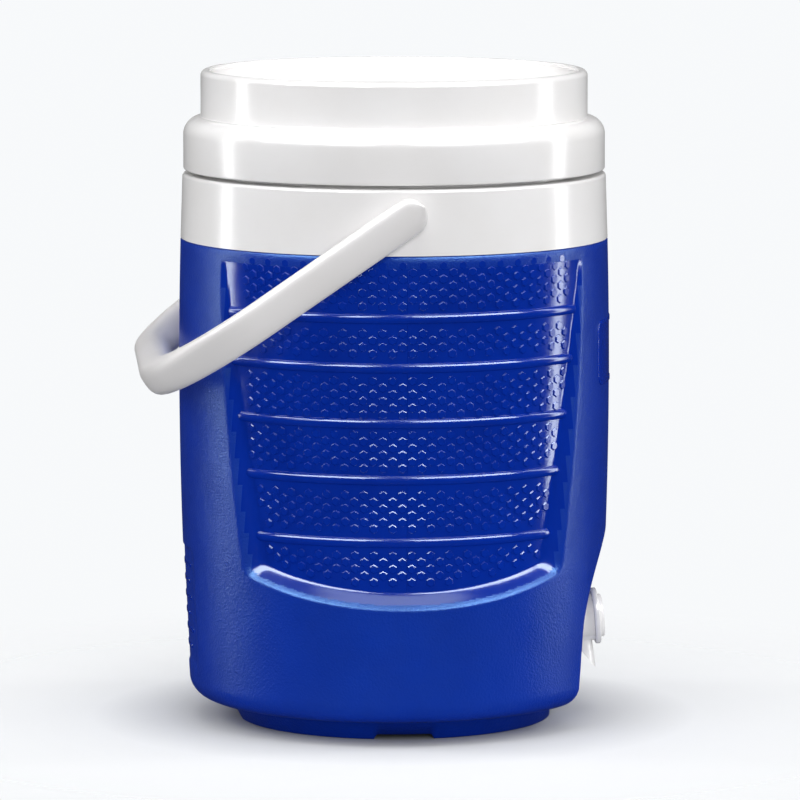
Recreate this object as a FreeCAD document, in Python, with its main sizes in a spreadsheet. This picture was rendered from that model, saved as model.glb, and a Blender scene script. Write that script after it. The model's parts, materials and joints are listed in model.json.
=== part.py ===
"""Insulated beverage dispenser: a round double-walled jug with a screw lid, a swing-up bail
and a push-button spigot.

Frame: millimetres, +Z up, the origin on the jug's axis in the plane that its foot stands on.
The spigot faces -Y, the resting bail hangs to +Y and its pivots are on the X axis's sides.
"""
import FreeCAD, Part
import math
import os
import re
import Sketcher

doc = FreeCAD.newDocument("beverage_dispenser")
sheet = doc.addObject("Spreadsheet::Sheet", "sizes")

# ---------------------------------------------------------------- driving dimensions (mm, degrees)
SIZES = {
    # outer shell
    "body_radius": 119.0,        # where the shell meets the collar
    "body_height": 269.6,        # underside of the collar above the floor
    "shell_wall": 3.0,
    "base_height": 12.0,         # underside of the shell above the floor
    "base_draw": 4.2,            # how much narrower the shell is above its bottom corner
    "base_corner": 12.0,
    "barrel_bulge": 2.75,
    "step_inset": 4.7,           # shell neck inside the collar
    "step_height": 12.0,
    "step_overlap": 1.0,         # foam above and below the step's top, so its two parts meet
    "neck_slope": 2.0,           # below the collar, where the shell's inside starts to draw in
    # foot ring
    "foot_inset": 25.0,
    "foot_draw": 6.8,
    "foot_wall": 7.0,
    "notch_width": 33.0,
    "notch_height": 3.0,
    "notch_draft": 1.5,
    # grip panels on the two sides
    "panel_low": 75.7,
    "panel_ledge": 9.0,
    "panel_depth_low": 9.0,
    "panel_depth_top": 0.6,
    "panel_top_gap": 7.6,        # below the collar
    "top_share": 4.0,            # the wall above a panel, as a share of the wall behind it
    "panel_angle_top": 55.8,     # half the angle that a panel takes round the axis
    "panel_angle_low": 47.5,
    "panel_shoulder": 26.0,      # height over which the lower corners draw in
    "panel_angle_foot": 30.0,
    "rib_count": 5,
    "rib_first": 0.157,          # as shares of the panel's height
    "rib_last": 0.851,
    "rib_radius": 2.8,
    "rib_sink": 1.0,
    # plates on the front and the back
    "front_plate_width": 100.0,
    "front_plate_height": 36.0,
    "front_plate_low": 190.0,
    "front_plate_rise": 0.5,
    "back_plate_width": 62.0,
    "back_plate_height": 67.5,
    "back_plate_low": 31.0,
    "back_plate_depth": 0.8,
    "plate_sink": 2.0,           # how far the front plate is rooted in the shell
    "front_slim": 1.7,           # the shell below its widest, at the front plate
    "back_slim_low": 1.9,        # the shell below its widest, at the back plate's bottom
    "back_slim_top": 0.6,
    "plate_corner": 6.0,
    # spigot recess
    "pocket_depth": 32.0,
    "pocket_half_width": 56.5,
    "pocket_top": 107.0,
    "flat_above": 12.0,          # the liner's flat above the recess
    # collar and neck
    "collar_height": 35.9,
    "collar_draw": 1.1,
    "collar_web": 4.0,
    "collar_edge": 2.0,
    "collar_fit": 0.2,
    "neck_wall": 4.0,
    "mouth_foam": 6.0,
    "boss_radius": 9.0,
    "boss_depth": 12.0,
    "boss_inside": 2.0,          # from an arm's inner face to the boss
    "boss_sink": 3.0,            # the boss stops this far inside the collar's face
    # thread: four lugs on the neck and four in the lid
    "thread_lead": 48.0,
    "thread_turns": 0.16,
    "thread_starts": 4,
    "thread_depth": 3.6,
    "thread_height": 3.6,
    "thread_gap": 0.6,
    "thread_play": 0.5,
    "lug_root": 0.4,
    "lug_draft": 0.8,
    "thread_rise": 8.5,          # lowest lug above the collar
    # lid
    "lid_gap": 2.0,
    "skirt_inset": 1.7,
    "skirt_height": 19.5,
    "shoulder": 9.7,
    "crown_height": 22.8,
    "crest": 3.2,
    "dish_depth": 9.4,
    "lid_wall": 2.5,
    "ring_thick": 4.5,
    "disc_thick": 3.7,
    "disc_drop": 1.2,            # below the shoulder's underside
    "lip_inset": 1.6,
    "lip_drop": 1.3,
    "ring_lift": 1.5,
    "lid_edge": 1.0,
    "gasket_thick": 2.1,
    "gasket_width": 7.0,
    "gasket_inset": 2.1,
    "gasket_gap": 0.1,
    # liner
    "liner_wall": 2.5,
    "liner_base": 26.0,
    "liner_corner": 14.0,
    "rim_thick": 2.4,
    "pocket_foam": 4.0,
    # bail
    "bail_gap": 1.9,             # between the collar and an arm
    "bail_arm": 8.2,
    "bail_width": 20.5,
    "bail_grip": 19.0,
    "bail_corner": 74.0,
    "bail_corner_wall": 12.0,
    "bail_round": 3.4,
    "bail_rest_angle": 34.5,
    "rest_slim": 1.0,            # the shell below its widest, where the bail rests on it
    "pivot_drop": 14.4,          # pivot axis below the collar's top
    "pivot_radius": 4.0,
    "pivot_cover": 2.4,          # plastic left over the blind hole in an arm
    "pivot_head_radius": 6.2,
    "pivot_head": 2.2,
    "pivot_end_gap": 0.3,
    "running_fit": 0.08,
    # spigot, measured along its own axis from the recess floor unless a radius
    "spigot_height": 51.8,
    "spigot_tilt": 5.4,
    "seat_rise": 2.5,
    "seat_root": 6.0,
    "boss_rise": 2.5,            # the liner's boss inside the tank
    "seat_radius": 21.0,
    "washer_thick": 2.0,
    "washer_radius": 19.0,
    "washer_inset": 1.0,         # the inner washer inside the nut's corners
    "flange_radius": 20.0,
    "flange_thick": 3.0,
    "flange_blend": 0.5,
    "barrel_radius": 13.5,
    "barrel_end": 26.0,
    "chamber_radius": 9.0,
    "chamber_end": 17.5,
    "land_radius": 5.0,
    "land_thick": 3.0,
    "land_gap": 0.5,
    "upper_bore": 4.6,
    "guide_thick": 2.5,
    "guide_step": 0.9,
    "ring_width": 1.9,
    "button_radius": 12.0,
    "button_play": 0.3,
    "button_start": 23.6,
    "button_end": 30.6,
    "button_wall": 2.5,
    "button_skirt": 2.0,
    "button_hub": 1.5,
    "button_edge": 1.0,
    "surround_radius": 15.8,
    "surround_end": 28.2,
    "surround_thick": 3.2,
    "surround_round": 1.2,
    "surround_edge": 1.0,
    "spout_place": 15.0,
    "spout_radius": 8.0,
    "spout_flare": 1.0,
    "spout_bore": 6.2,
    "spout_length": 29.0,
    "spout_cut_angle": 35.0,
    "shank_radius": 11.0,
    "shank_bore": 7.5,
    "shank_length": 22.0,
    "hole_play": 0.3,
    "stem_radius": 3.0,
    "stem_tail": 1.4,
    "seal_gap": 0.1,
    "seal_radius": 6.6,
    "seal_thick": 3.9,
    "clip_radius": 5.0,
    "clip_thick": 1.6,
    "nut_radius": 17.0,
    "nut_thick": 7.0,
    "coil_radius": 6.6,
    "coil_wire": 0.55,
    "coil_turns": 4.0,
    "coil_gap": 0.1,
    # foam fill plugs
    "plug_radius": 9.0,
    "plug_head": 2.0,
    "plug_lip": 3.0,
    "plug_inset": 30.2,          # from the foot ring's inside to the plug's middle
    # cutting shapes
    "close_fit": 0.05,
    "past": 20.0,                # how far a cutting shape runs past what it cuts
    "past_short": 5.0,
    "overlap": 1.0,              # how far neighbouring bores run into one another
}

# ---------------------------------------------------------------- sizes worked out from those
DERIVED = {
    "base_radius": "body_radius - base_draw",
    "foot_radius": "body_radius - foot_inset",
    "foot_low_radius": "foot_radius - foot_draw",
    "plug_place": "foot_low_radius - foot_wall - plug_inset",
    "step_radius": "body_radius - step_inset",
    "step_top": "body_height + step_height",
    "side_run": "sqrt((body_height - base_height - base_corner)^2 + base_draw^2)",
    "side_radius": "((side_run / 2)^2 + barrel_bulge^2) / (2 * barrel_bulge)",
    "widest": "body_radius + barrel_bulge",
    "inner_radius": "body_radius - shell_wall",
    "inner_base_radius": "base_radius - shell_wall",
    "inner_corner": "base_corner - shell_wall",
    "shell_floor": "base_height + shell_wall",
    "panel_floor": "panel_low + panel_ledge",
    "panel_top": "body_height - panel_top_gap",
    "panel_low_radius": "body_radius - panel_depth_low",
    "panel_top_radius": "body_radius - panel_depth_top",
    "pocket_face": "body_radius - pocket_depth",
    "pocket_arch": "pocket_top - pocket_half_width",
    "collar_top": "body_height + collar_height",
    "collar_inner": "step_radius + collar_fit",
    "skirt_radius": "body_radius - skirt_inset",
    "skirt_inner": "skirt_radius - lid_wall",
    "ring_inner": "skirt_inner - ring_thick",
    "neck_radius": "ring_inner - thread_gap - thread_depth",
    "neck_inner": "neck_radius - neck_wall",
    "liner_radius": "neck_inner - mouth_foam",
    "liner_inner": "liner_radius - liner_wall",
    "liner_floor": "liner_base + liner_wall",
    "lid_low": "collar_top + lid_gap",
    "skirt_top": "lid_low + skirt_height",
    "crown_radius": "skirt_radius - shoulder",
    "crown_inner": "crown_radius - lid_wall",
    "shoulder_top": "skirt_top + shoulder",
    "crown_top": "shoulder_top + crown_height",
    "lid_top": "crown_top + crest",
    "crest_radius": "crown_radius - crest",
    "dish_radius": "crest_radius - dish_depth",
    "dish_floor": "lid_top - dish_depth",
    "dish_under": "dish_depth + lid_wall",
    "shoulder_inner": "shoulder - lid_wall",
    "shoulder_under": "skirt_top + shoulder_inner",
    "disc_low": "shoulder_under - disc_drop",
    "disc_top": "disc_low + disc_thick",
    "rim_top": "disc_low - gasket_thick - gasket_gap",
    "neck_top": "rim_top - rim_thick",
    "crest_under": "lid_top - sqrt(dish_under^2 - (crown_inner - dish_radius)^2)",
    "pivot_height": "collar_top - pivot_drop",
    "arm_inner": "body_radius - collar_draw + bail_gap",
    "arm_outer": "arm_inner + bail_arm",
    "boss_start": "arm_inner - boss_inside - boss_depth",
    "bail_half": "bail_width / 2",
    "bail_reach": "(widest - rest_slim + bail_round + (bail_half - bail_round)"
                  " * sin(bail_rest_angle * 1deg)) / cos(bail_rest_angle * 1deg) - bail_round",
    "bail_end": "bail_reach + bail_grip",
    "washer_end": "seat_rise + washer_thick",
    "flange_end": "washer_end + flange_thick",
    "land_start": "seat_rise + land_gap",
    "land_end": "land_start + land_thick",
    "guide_end": "chamber_end + guide_thick",
    "front_bore": "button_radius + button_play",
    "button_floor": "button_end - button_wall",
    "liner_face": "pocket_face - shell_wall - pocket_foam",
    "tank_face": "liner_face - liner_wall",
    "boss_end": "shell_wall + pocket_foam + liner_wall + boss_rise",
    "ledge_run": "5 * panel_ledge",
    "bail_inner_corner": "bail_corner - bail_corner_wall",
    "front_plate_radius": "widest - front_slim + front_plate_rise",
}

SIDES = (("right", 1), ("left", -1))


def fill_sheet():
    """Write every driving dimension into the sheet as a plain number with an alias."""
    for row, (name, number) in enumerate(SIZES.items(), start=1):
        sheet.set("A%d" % row, name)
        sheet.set("B%d" % row, str(number))
        sheet.setAlias("B%d" % row, name)
    doc.recompute()


def full(text):
    """An expression in plain names, written out in the sheet's cells."""
    def swap(match):
        word = match.group(0)
        if word in DERIVED:
            return "(" + full(DERIVED[word]) + ")"
        if word in SIZES:
            return "sizes." + word
        return word
    return re.sub(r"[a-z_]+", swap, str(text))


def value(text):
    """The number that an expression in plain names comes to."""
    result = sheet.evalExpression(full(text))
    return float(getattr(result, "Value", result))


def bind(thing, prop, text):
    thing.setExpression(prop, full(text))


# ---------------------------------------------------------------- drawing helpers
def origin_plane(body, role):
    return [plane for plane in body.Origin.OriginFeatures if plane.Role == role][0]


def middle_of_arc(start, end, radius, side):
    """A point halfway along the arc from start to end that bulges to its left (+1) or right (-1)."""
    along = end - start
    half = along.Length / 2
    rise = radius - math.sqrt(max(radius * radius - half * half, 0.0))
    left = FreeCAD.Vector(-along.y, along.x, 0).normalize()
    return (start + end) * 0.5 + left * (side * rise)


def draw(sketch, outline):
    """Draw a closed outline: (x, y) starts a line, (x, y, radius, side) an arc, to the next point."""
    corners = [FreeCAD.Vector(value(item[0]), value(item[1]), 0) for item in outline]
    ends = []
    for index, item in enumerate(outline):
        start, end = corners[index], corners[(index + 1) % len(corners)]
        if len(item) == 2:
            sketch.addGeometry(Part.LineSegment(start, end), False)
            ends.append((1, 2))
            continue
        middle = middle_of_arc(start, end, value(item[2]), item[3])
        sketch.addGeometry(Part.Arc(start, middle, end), False)
        begins = sketch.getPoint(index, 1).distanceToPoint(start) < 1e-6
        ends.append((1, 2) if begins else (2, 1))
    for index in range(len(outline)):
        following = (index + 1) % len(outline)
        sketch.addConstraint(Sketcher.Constraint(
            "Coincident", index, ends[index][1], following, ends[following][0]))
    for index, item in enumerate(outline):
        for kind, text, number in (("DistanceX", item[0], corners[index].x),
                                   ("DistanceY", item[1], corners[index].y)):
            place = sketch.addConstraint(
                Sketcher.Constraint(kind, -1, 1, index, ends[index][0], number))
            bind(sketch, "Constraints[%d]" % place, text)
        if len(item) == 4:
            place = sketch.addConstraint(Sketcher.Constraint("Radius", index, value(item[2])))
            bind(sketch, "Constraints[%d]" % place, item[2])


def new_sketch(body, role, outline, lift="0"):
    """A sketch on one of the body's own origin planes, moved along its normal by lift."""
    sketch = body.newObject("Sketcher::SketchObject", body.Label + "_sketch")
    sketch.AttachmentSupport = (origin_plane(body, role), "")
    sketch.MapMode = "FlatFace"
    bind(sketch, "AttachmentOffset.Base.z", lift)
    draw(sketch, outline)
    return sketch


def turned(label, outline):
    """A body turned about its own Z axis from an outline of (radius, height) points."""
    body = doc.addObject("PartDesign::Body", label)
    sketch = new_sketch(body, "XZ_Plane", outline)
    turn = body.newObject("PartDesign::Revolution", label + "_turn")
    turn.Profile = sketch
    turn.ReferenceAxis = (sketch, ["V_Axis"])
    turn.Angle = 360
    return body


def padded(label, role, outline, length, lift="0", midplane=False):
    """A body padded from an outline on an origin plane, along the plane's normal."""
    body = doc.addObject("PartDesign::Body", label)
    sketch = new_sketch(body, role, outline, lift)
    pad = body.newObject("PartDesign::Pad", label + "_pad")
    pad.Profile = sketch
    pad.Midplane = midplane
    bind(pad, "Length", length)
    return body


def rod(label, radius, start, end):
    """A plain cylinder along its own Z axis from start to end."""
    solid = doc.addObject("Part::Cylinder", label)
    bind(solid, "Radius", radius)
    bind(solid, "Height", "(%s) - (%s)" % (end, start))
    bind(solid, "Placement.Base.z", start)
    return solid


def joined(label, things):
    fuse = doc.addObject("Part::MultiFuse", label)
    fuse.Shapes = things
    return fuse


def common(label, things):
    shared = doc.addObject("Part::MultiCommon", label)
    shared.Shapes = things
    return shared


def cut(label, base, tools):
    """The base with one or more tools taken away."""
    result = doc.addObject("Part::Cut", label)
    result.Base = base
    result.Tool = tools[0] if len(tools) == 1 else joined(label + "_tools", tools)
    return result


def copy_of(label, source):
    """The same shape again, linked to its source, free to be placed and cut by itself."""
    twin = doc.addObject("Part::Refine", label)
    twin.Source = source
    return twin


def rounded_box(width, low, height, corner):
    """A rounded rectangle centred on x = 0 that stands on low."""
    half = "(%s) / 2" % width
    top = "(%s) + (%s)" % (low, height)
    near = "%s - (%s)" % (half, corner)
    return [("-(%s)" % near, low), (near, low, corner, -1),
            (half, "(%s) + (%s)" % (low, corner)), (half, "%s - (%s)" % (top, corner), corner, -1),
            (near, top), ("-(%s)" % near, top, corner, -1),
            ("-(%s)" % half, "%s - (%s)" % (top, corner)),
            ("-(%s)" % half, "(%s) + (%s)" % (low, corner), corner, -1)]


def fillet(body, radius, wanted):
    """Round the edges of the body's tip that the test picks."""
    doc.recompute()
    tip = body.Tip
    names = ["Edge%d" % number for number, edge in enumerate(tip.Shape.Edges, start=1) if wanted(edge)]
    rounding = body.newObject("PartDesign::Fillet", body.Label + "_fillet")
    rounding.Base = (tip, names)
    bind(rounding, "Radius", radius)
    return rounding


def ring_edge(radius, height):
    """A test for the circular edge of one radius about the Z axis at one height."""
    def wanted(edge):
        box = edge.BoundBox
        return abs(box.ZMin - value(height)) < 1e-3 and box.ZLength < 1e-3 and (
            abs(box.XMax - value(radius)) < 1e-3)
    return wanted


# ---------------------------------------------------------------- outer shell
def spigot_place():
    """The spigot's own frame: its axis points out of the recess and up by the tilt."""
    turn = FreeCAD.Rotation(FreeCAD.Vector(1, 0, 0), 90 - value("spigot_tilt"))
    base = FreeCAD.Vector(0, -value("pocket_face"), value("spigot_height"))
    return FreeCAD.Placement(base, turn)


def on_spigot(thing):
    """Move something made along its own Z axis onto the spigot's axis."""
    thing.Placement = spigot_place().multiply(thing.Placement)
    return thing


def spigot_rod(label, radius, start, end):
    """A cylinder along the spigot's axis, placed by the spigot's own frame."""
    solid = doc.addObject("Part::Cylinder", label)
    bind(solid, "Radius", radius)
    bind(solid, "Height", "(%s) - (%s)" % (end, start))
    shift = FreeCAD.Placement(FreeCAD.Vector(0, 0, value(start)), FreeCAD.Rotation())
    solid.Placement = spigot_place().multiply(shift)
    return solid


def arch(extra):
    """The recess's outline seen from the front, grown by extra."""
    half = "pocket_half_width + %s" % extra
    return [("-(%s)" % half, "-past"), (half, "-past"), (half, "pocket_arch", half, -1),
            ("0", "pocket_arch + %s" % half, half, -1), ("-(%s)" % half, "pocket_arch")]


def panel_half(angle):
    return "body_radius * sin(%s * 1deg)" % angle


def panel_prism(label, extra):
    """Both grip panels' outline, seen from the side, right through the jug."""
    top = "panel_top + top_share * %s" % extra
    outline = [("-(%s) - %s" % (panel_half("panel_angle_foot"), extra), "panel_low - %s" % extra),
               ("%s + %s" % (panel_half("panel_angle_foot"), extra), "panel_low - %s" % extra),
               ("%s + %s" % (panel_half("panel_angle_low"), extra), "panel_low + panel_shoulder"),
               ("%s + %s" % (panel_half("panel_angle_top"), extra), top),
               ("-(%s) - %s" % (panel_half("panel_angle_top"), extra), top),
               ("-(%s) - %s" % (panel_half("panel_angle_low"), extra), "panel_low + panel_shoulder")]
    return padded(label, "YZ_Plane", outline, "4 * body_radius", midplane=True)


def panel_ring(label, extra):
    """A ring whose inner wall is the panel's face and whose sloping floor is its ledge."""
    outline = [("panel_low_radius - %s" % extra, "panel_floor - %s" % extra),
               ("panel_low_radius + ledge_run - %s" % extra, "panel_floor - ledge_run - %s" % extra),
               ("2 * body_radius", "panel_floor - ledge_run - %s" % extra),
               ("2 * body_radius", "panel_top + top_share * %s" % extra),
               ("panel_top_radius - %s" % extra, "panel_top + top_share * %s" % extra)]
    return turned(label, outline)


def shell_solid():
    """The outer shell as if it were full: foot ring, barrel and the neck inside the collar."""
    return turned("shell_solid", [
        ("0", "base_height"),
        ("foot_low_radius - foot_wall", "base_height"),
        ("foot_low_radius - foot_wall", "0"),
        ("foot_low_radius", "0"),
        ("foot_radius", "base_height"),
        ("base_radius - base_corner", "base_height", "base_corner", -1),
        ("base_radius", "base_height + base_corner", "side_radius", -1),
        ("body_radius", "body_height"),
        ("step_radius", "body_height"),
        ("step_radius", "step_top"),
        ("0", "step_top")])


def shell_hollow():
    """The space inside the shell, up through its open top."""
    return turned("shell_hollow", [
        ("0", "shell_floor"),
        ("inner_base_radius - inner_corner", "shell_floor", "inner_corner", -1),
        ("inner_base_radius", "shell_floor + inner_corner", "side_radius - shell_wall", -1),
        ("inner_radius", "body_height - shell_wall - neck_slope"),
        ("step_radius - shell_wall", "body_height + neck_slope / 2"),
        ("step_radius - shell_wall", "step_top + step_overlap"),
        ("0", "step_top + step_overlap")])


def front_pad(label, outline, start, end):
    """A prism that runs towards -Y between two distances in front of the axis."""
    return padded(label, "XZ_Plane", outline, "(%s) - (%s)" % (end, start), lift=start)


def make_hollow():
    """The shell's inside with its walls kept thick behind the recess and the panels."""
    keep = [front_pad("pocket_wall", arch("shell_wall"), "pocket_face - shell_wall", "widest + past"),
            common("panel_wall", [panel_prism("panel_wall_prism", "shell_wall"),
                                  panel_ring("panel_wall_ring", "shell_wall")])]
    return cut("foam_space", shell_hollow(), keep)


def panel_ribs():
    """Round bars sunk into the panels' faces."""
    bars = []
    count = int(value("rib_count"))
    for number in range(count):
        share = "(rib_first + (rib_last - rib_first) * %d / (rib_count - 1))" % number
        bar = doc.addObject("Part::Torus", "rib_%d" % (number + 1))
        face = "(panel_low_radius + (panel_top_radius - panel_low_radius) * %s)" % share
        bind(bar, "Radius1", face + " - rib_sink")
        bind(bar, "Radius2", "rib_radius")
        bind(bar, "Placement.Base.z", "panel_floor + (panel_top - panel_floor) * " + share)
        bars.append(bar)
    return common("panel_ribs", [joined("rib_bars", bars), panel_prism("rib_prism", "-1")])


def foot_notches():
    """Four shallow notches in the foot ring's bottom."""
    tools = []
    for role in ("XZ_Plane", "YZ_Plane"):
        half = "notch_width / 2"
        outline = [("-" + half, "-past_short"), (half, "-past_short"),
                   (half + " - notch_draft", "notch_height"),
                   ("-%s + notch_draft" % half, "notch_height")]
        tools.append(padded("notch_" + role[:2], role, outline, "4 * body_radius", midplane=True))
    return tools


def plates():
    """The raised blank plate in front and the sunk label plate behind."""
    skin = turned("plate_skin", [
        ("body_radius - plate_sink", "front_plate_low - past_short"),
        ("front_plate_radius", "front_plate_low - past_short"),
        ("front_plate_radius", "front_plate_low + front_plate_height + past_short"),
        ("body_radius - plate_sink", "front_plate_low + front_plate_height + past_short")])
    front = front_pad("front_plate_prism", rounded_box(
        "front_plate_width", "front_plate_low", "front_plate_height", "plate_corner"),
        "pocket_face", "widest + past")
    back = padded("back_plate_prism", "XZ_Plane", rounded_box(
        "back_plate_width", "back_plate_low", "back_plate_height", "plate_corner"),
        "2 * body_radius", lift="-3 * body_radius + back_plate_depth")
    ring = turned("back_plate_ring", [
        ("body_radius - back_slim_low - back_plate_depth", "back_plate_low - past_short"),
        ("widest + past", "back_plate_low - past_short"),
        ("widest + past", "back_plate_low + back_plate_height + past_short"),
        ("body_radius - back_slim_top - back_plate_depth",
         "back_plate_low + back_plate_height + past_short")])
    return common("front_plate", [skin, front]), common("back_plate", [ring, back])


def outer_shell(foam_space):
    front_plate, back_plate = plates()
    pocket = front_pad("pocket", arch("0"), "pocket_face", "widest + past")
    panels = common("panels", [panel_prism("panel_prism", "0"), panel_ring("panel_ring", "0")])
    carved = cut("shell_carved", shell_solid(), [pocket, panels, back_plate] + foot_notches())
    boss = spigot_rod("seat_boss", "seat_radius", "-seat_root", "seat_rise")
    full_shell = joined("shell_full", [carved, panel_ribs(), front_plate, boss])
    hole = spigot_rod("shell_hole", "shank_radius + hole_play", "-past", "past")
    fill = rod("shell_fill_hole", "plug_radius + close_fit", "0", "shell_floor + past_short")
    bind(fill, "Placement.Base.y", "plug_place")
    return cut("outer_shell", full_shell, [copy_of("foam_space_copy", foam_space), hole, fill])


def base_plug():
    """The plug that closes the hole the shell's foam is poured through."""
    plug = turned("base_plug", [
        ("0", "base_height - plug_head"), ("plug_radius + plug_lip", "base_height - plug_head"),
        ("plug_radius + plug_lip", "base_height"), ("plug_radius", "base_height"),
        ("plug_radius", "shell_floor"), ("0", "shell_floor")])
    bind(plug, "Placement.Base.y", "plug_place")
    return plug


# ---------------------------------------------------------------- liner and foam
def liner_form(label, radius, base, corner, top):
    return turned(label, [
        ("0", base), ("%s - (%s)" % (radius, corner), base, corner, -1),
        (radius, "%s + %s" % (base, corner)), (radius, top), ("0", top)])


def front_flat(label, face):
    """Everything in front of a flat that keeps the liner behind the recess."""
    outline = [("-2 * body_radius", "-past"), ("2 * body_radius", "-past"),
               ("2 * body_radius", "pocket_top + flat_above"), ("-2 * body_radius", "pocket_top + flat_above")]
    return front_pad(label, outline, face, "2 * body_radius")


def liner_outside():
    form = liner_form("liner_form", "liner_radius", "liner_base", "liner_corner", "neck_top")
    return cut("liner_outside", form, [front_flat("liner_flat", "liner_face")])


def inner_liner(outside):
    hollow_form = liner_form("liner_hollow_form", "liner_inner", "liner_floor",
                             "liner_corner - liner_wall", "rim_top + past")
    hollow = cut("liner_hollow", hollow_form, [front_flat("tank_flat", "tank_face"),
                 spigot_rod("liner_boss", "seat_radius", "-boss_end", "past")])
    rim = turned("liner_rim", [("liner_inner", "neck_top"), ("neck_radius", "neck_top"),
                               ("neck_radius", "rim_top"), ("liner_inner", "rim_top")])
    hole = spigot_rod("liner_hole", "shank_radius + close_fit", "-boss_end - past", "past")
    walls = joined("liner_walls", [copy_of("liner_outside_copy", outside), rim])
    return cut("inner_liner", walls, [hollow, hole])


def foam_insulation(foam_space, outside):
    """Foam fills the shell, then the gap between the liner and the neck."""
    upper = turned("foam_upper", [
        ("0", "step_top - step_overlap"), ("step_radius - shell_wall", "step_top - step_overlap"),
        ("step_radius - shell_wall", "collar_top - collar_web"),
        ("neck_inner", "collar_top - collar_web"), ("neck_inner", "neck_top"), ("0", "neck_top")])
    whole = joined("foam_whole", [foam_space, upper])
    trim = turned("foam_trim", [
        ("neck_inner", "step_top"), ("widest", "step_top"), ("widest", "neck_top + past_short"),
        ("neck_inner", "neck_top + past_short")])
    hole = spigot_rod("foam_hole", "seat_radius", "-boss_end - past_short", "past")
    plug = rod("foam_plug_hole", "plug_radius + close_fit", "0", "shell_floor + close_fit")
    bind(plug, "Placement.Base.y", "plug_place")
    bosses = []
    for name, side in SIDES:
        bosses.append(side_rod("foam_boss_" + name, "boss_radius", "boss_start", "widest", side))
        bosses.append(side_rod("foam_stud_" + name, "pivot_head_radius", "boss_start - pivot_head",
                               "boss_start", side))
    return cut("foam_insulation", whole, [outside, hole, plug, trim] + bosses)


# ---------------------------------------------------------------- collar
def helix_lugs(body, inner, outer, low, turns):
    """Four lugs of a coarse right-hand thread, added to the body."""
    sketch = new_sketch(body, "XZ_Plane", [
        (inner, low), (outer, "%s + lug_draft" % low), (outer, "%s + thread_height - lug_draft" % low),
        (inner, "%s + thread_height" % low)])
    lug = body.newObject("PartDesign::AdditiveHelix", body.Label + "_lug")
    lug.Profile = sketch
    lug.ReferenceAxis = (sketch, ["V_Axis"])
    lug.Mode = 1
    bind(lug, "Pitch", "thread_lead")
    bind(lug, "Turns", turns)
    doc.recompute()
    around = body.newObject("PartDesign::PolarPattern", body.Label + "_lugs")
    around.Originals = [lug]
    around.Axis = (sketch, ["V_Axis"])
    around.Angle = 360
    bind(around, "Occurrences", "thread_starts")
    body.Tip = around


def neck_collar():
    """The white ring that joins shell and liner, carries the bail and the lid's thread."""
    ring = turned("collar_ring", [
        ("body_radius", "body_height"),
        ("body_radius - collar_draw", "collar_top - collar_edge", "collar_edge", -1),
        ("body_radius - collar_draw - collar_edge", "collar_top"), ("neck_radius", "collar_top"),
        ("neck_radius", "neck_top"), ("neck_inner", "neck_top"),
        ("neck_inner", "collar_top - collar_web"),
        ("collar_inner", "collar_top - collar_web"), ("collar_inner", "body_height")])
    helix_lugs(ring, "neck_radius - lug_root", "neck_radius + thread_depth",
               "collar_top + thread_rise", "thread_turns")
    bosses, holes = [], []
    for name, side in SIDES:
        bosses.append(side_rod("boss_" + name, "boss_radius", "boss_start",
                               "body_radius - boss_sink", side))
        holes.append(side_rod("stud_hole_" + name, "pivot_radius", "boss_start - pivot_head",
                              "widest + past", side))
    return cut("neck_collar", joined("collar_whole", [ring] + bosses), holes)


def side_rod(label, radius, start, end, side, height="pivot_height"):
    """A cylinder along X between two distances from the jug's axis, at the pivots' height."""
    solid = doc.addObject("Part::Cylinder", label)
    bind(solid, "Radius", radius)
    bind(solid, "Height", "(%s) - (%s)" % (end, start))
    bind(solid, "Placement.Base.x", "%d * (%s)" % (side, start))
    bind(solid, "Placement.Base.z", height)
    solid.Placement.Rotation = FreeCAD.Rotation(FreeCAD.Vector(0, 1, 0), 90 * side)
    return solid


# ---------------------------------------------------------------- lid
def lid_cap():
    cap = turned("lid_cap", [
        ("skirt_radius", "lid_low"), ("skirt_radius", "skirt_top", "shoulder", -1),
        ("crown_radius", "shoulder_top"), ("crown_radius", "crown_top", "crest", -1),
        ("crest_radius", "lid_top", "dish_depth", 1), ("dish_radius", "dish_floor"),
        ("0", "dish_floor"), ("0", "dish_floor - lid_wall"),
        ("dish_radius", "dish_floor - lid_wall", "dish_under", -1),
        ("crown_inner", "crest_under"), ("crown_inner", "shoulder_under"),
        ("crown_radius", "shoulder_under", "shoulder_inner", 1),
        ("skirt_inner", "skirt_top"), ("skirt_inner", "lid_low")])
    fillet(cap, "lid_edge", ring_edge("skirt_radius", "lid_low"))
    return cap


def lid_underside():
    """The inner half of the lid, with the ring that carries its thread lugs."""
    inner = turned("lid_underside", [
        ("0", "disc_low"), ("crown_inner - lip_inset", "disc_low"),
        ("crown_inner - lip_inset", "disc_low - lip_drop"), ("ring_inner", "disc_low - lip_drop"),
        ("ring_inner", "lid_low + ring_lift"), ("skirt_inner", "lid_low + ring_lift"),
        ("skirt_inner", "skirt_top", "shoulder_inner", -1), ("crown_radius", "shoulder_under"),
        ("crown_inner", "shoulder_under"), ("crown_inner", "disc_top"), ("0", "disc_top")])
    helix_lugs(inner, "ring_inner + lug_root", "neck_radius + thread_gap",
               "collar_top + thread_rise - thread_height - thread_play", "thread_turns")
    return inner


def lid_foam():
    return turned("lid_foam", [
        ("0", "disc_top"), ("crown_inner", "disc_top"), ("crown_inner", "crest_under", "dish_under", 1),
        ("dish_radius", "dish_floor - lid_wall"), ("0", "dish_floor - lid_wall")])


def lid_gasket():
    outer = "crown_inner - gasket_inset"
    return turned("lid_gasket", [
        (outer + " - gasket_width", "rim_top + gasket_gap"), (outer, "rim_top + gasket_gap"),
        (outer, "disc_low"), (outer + " - gasket_width", "disc_low")])


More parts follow.
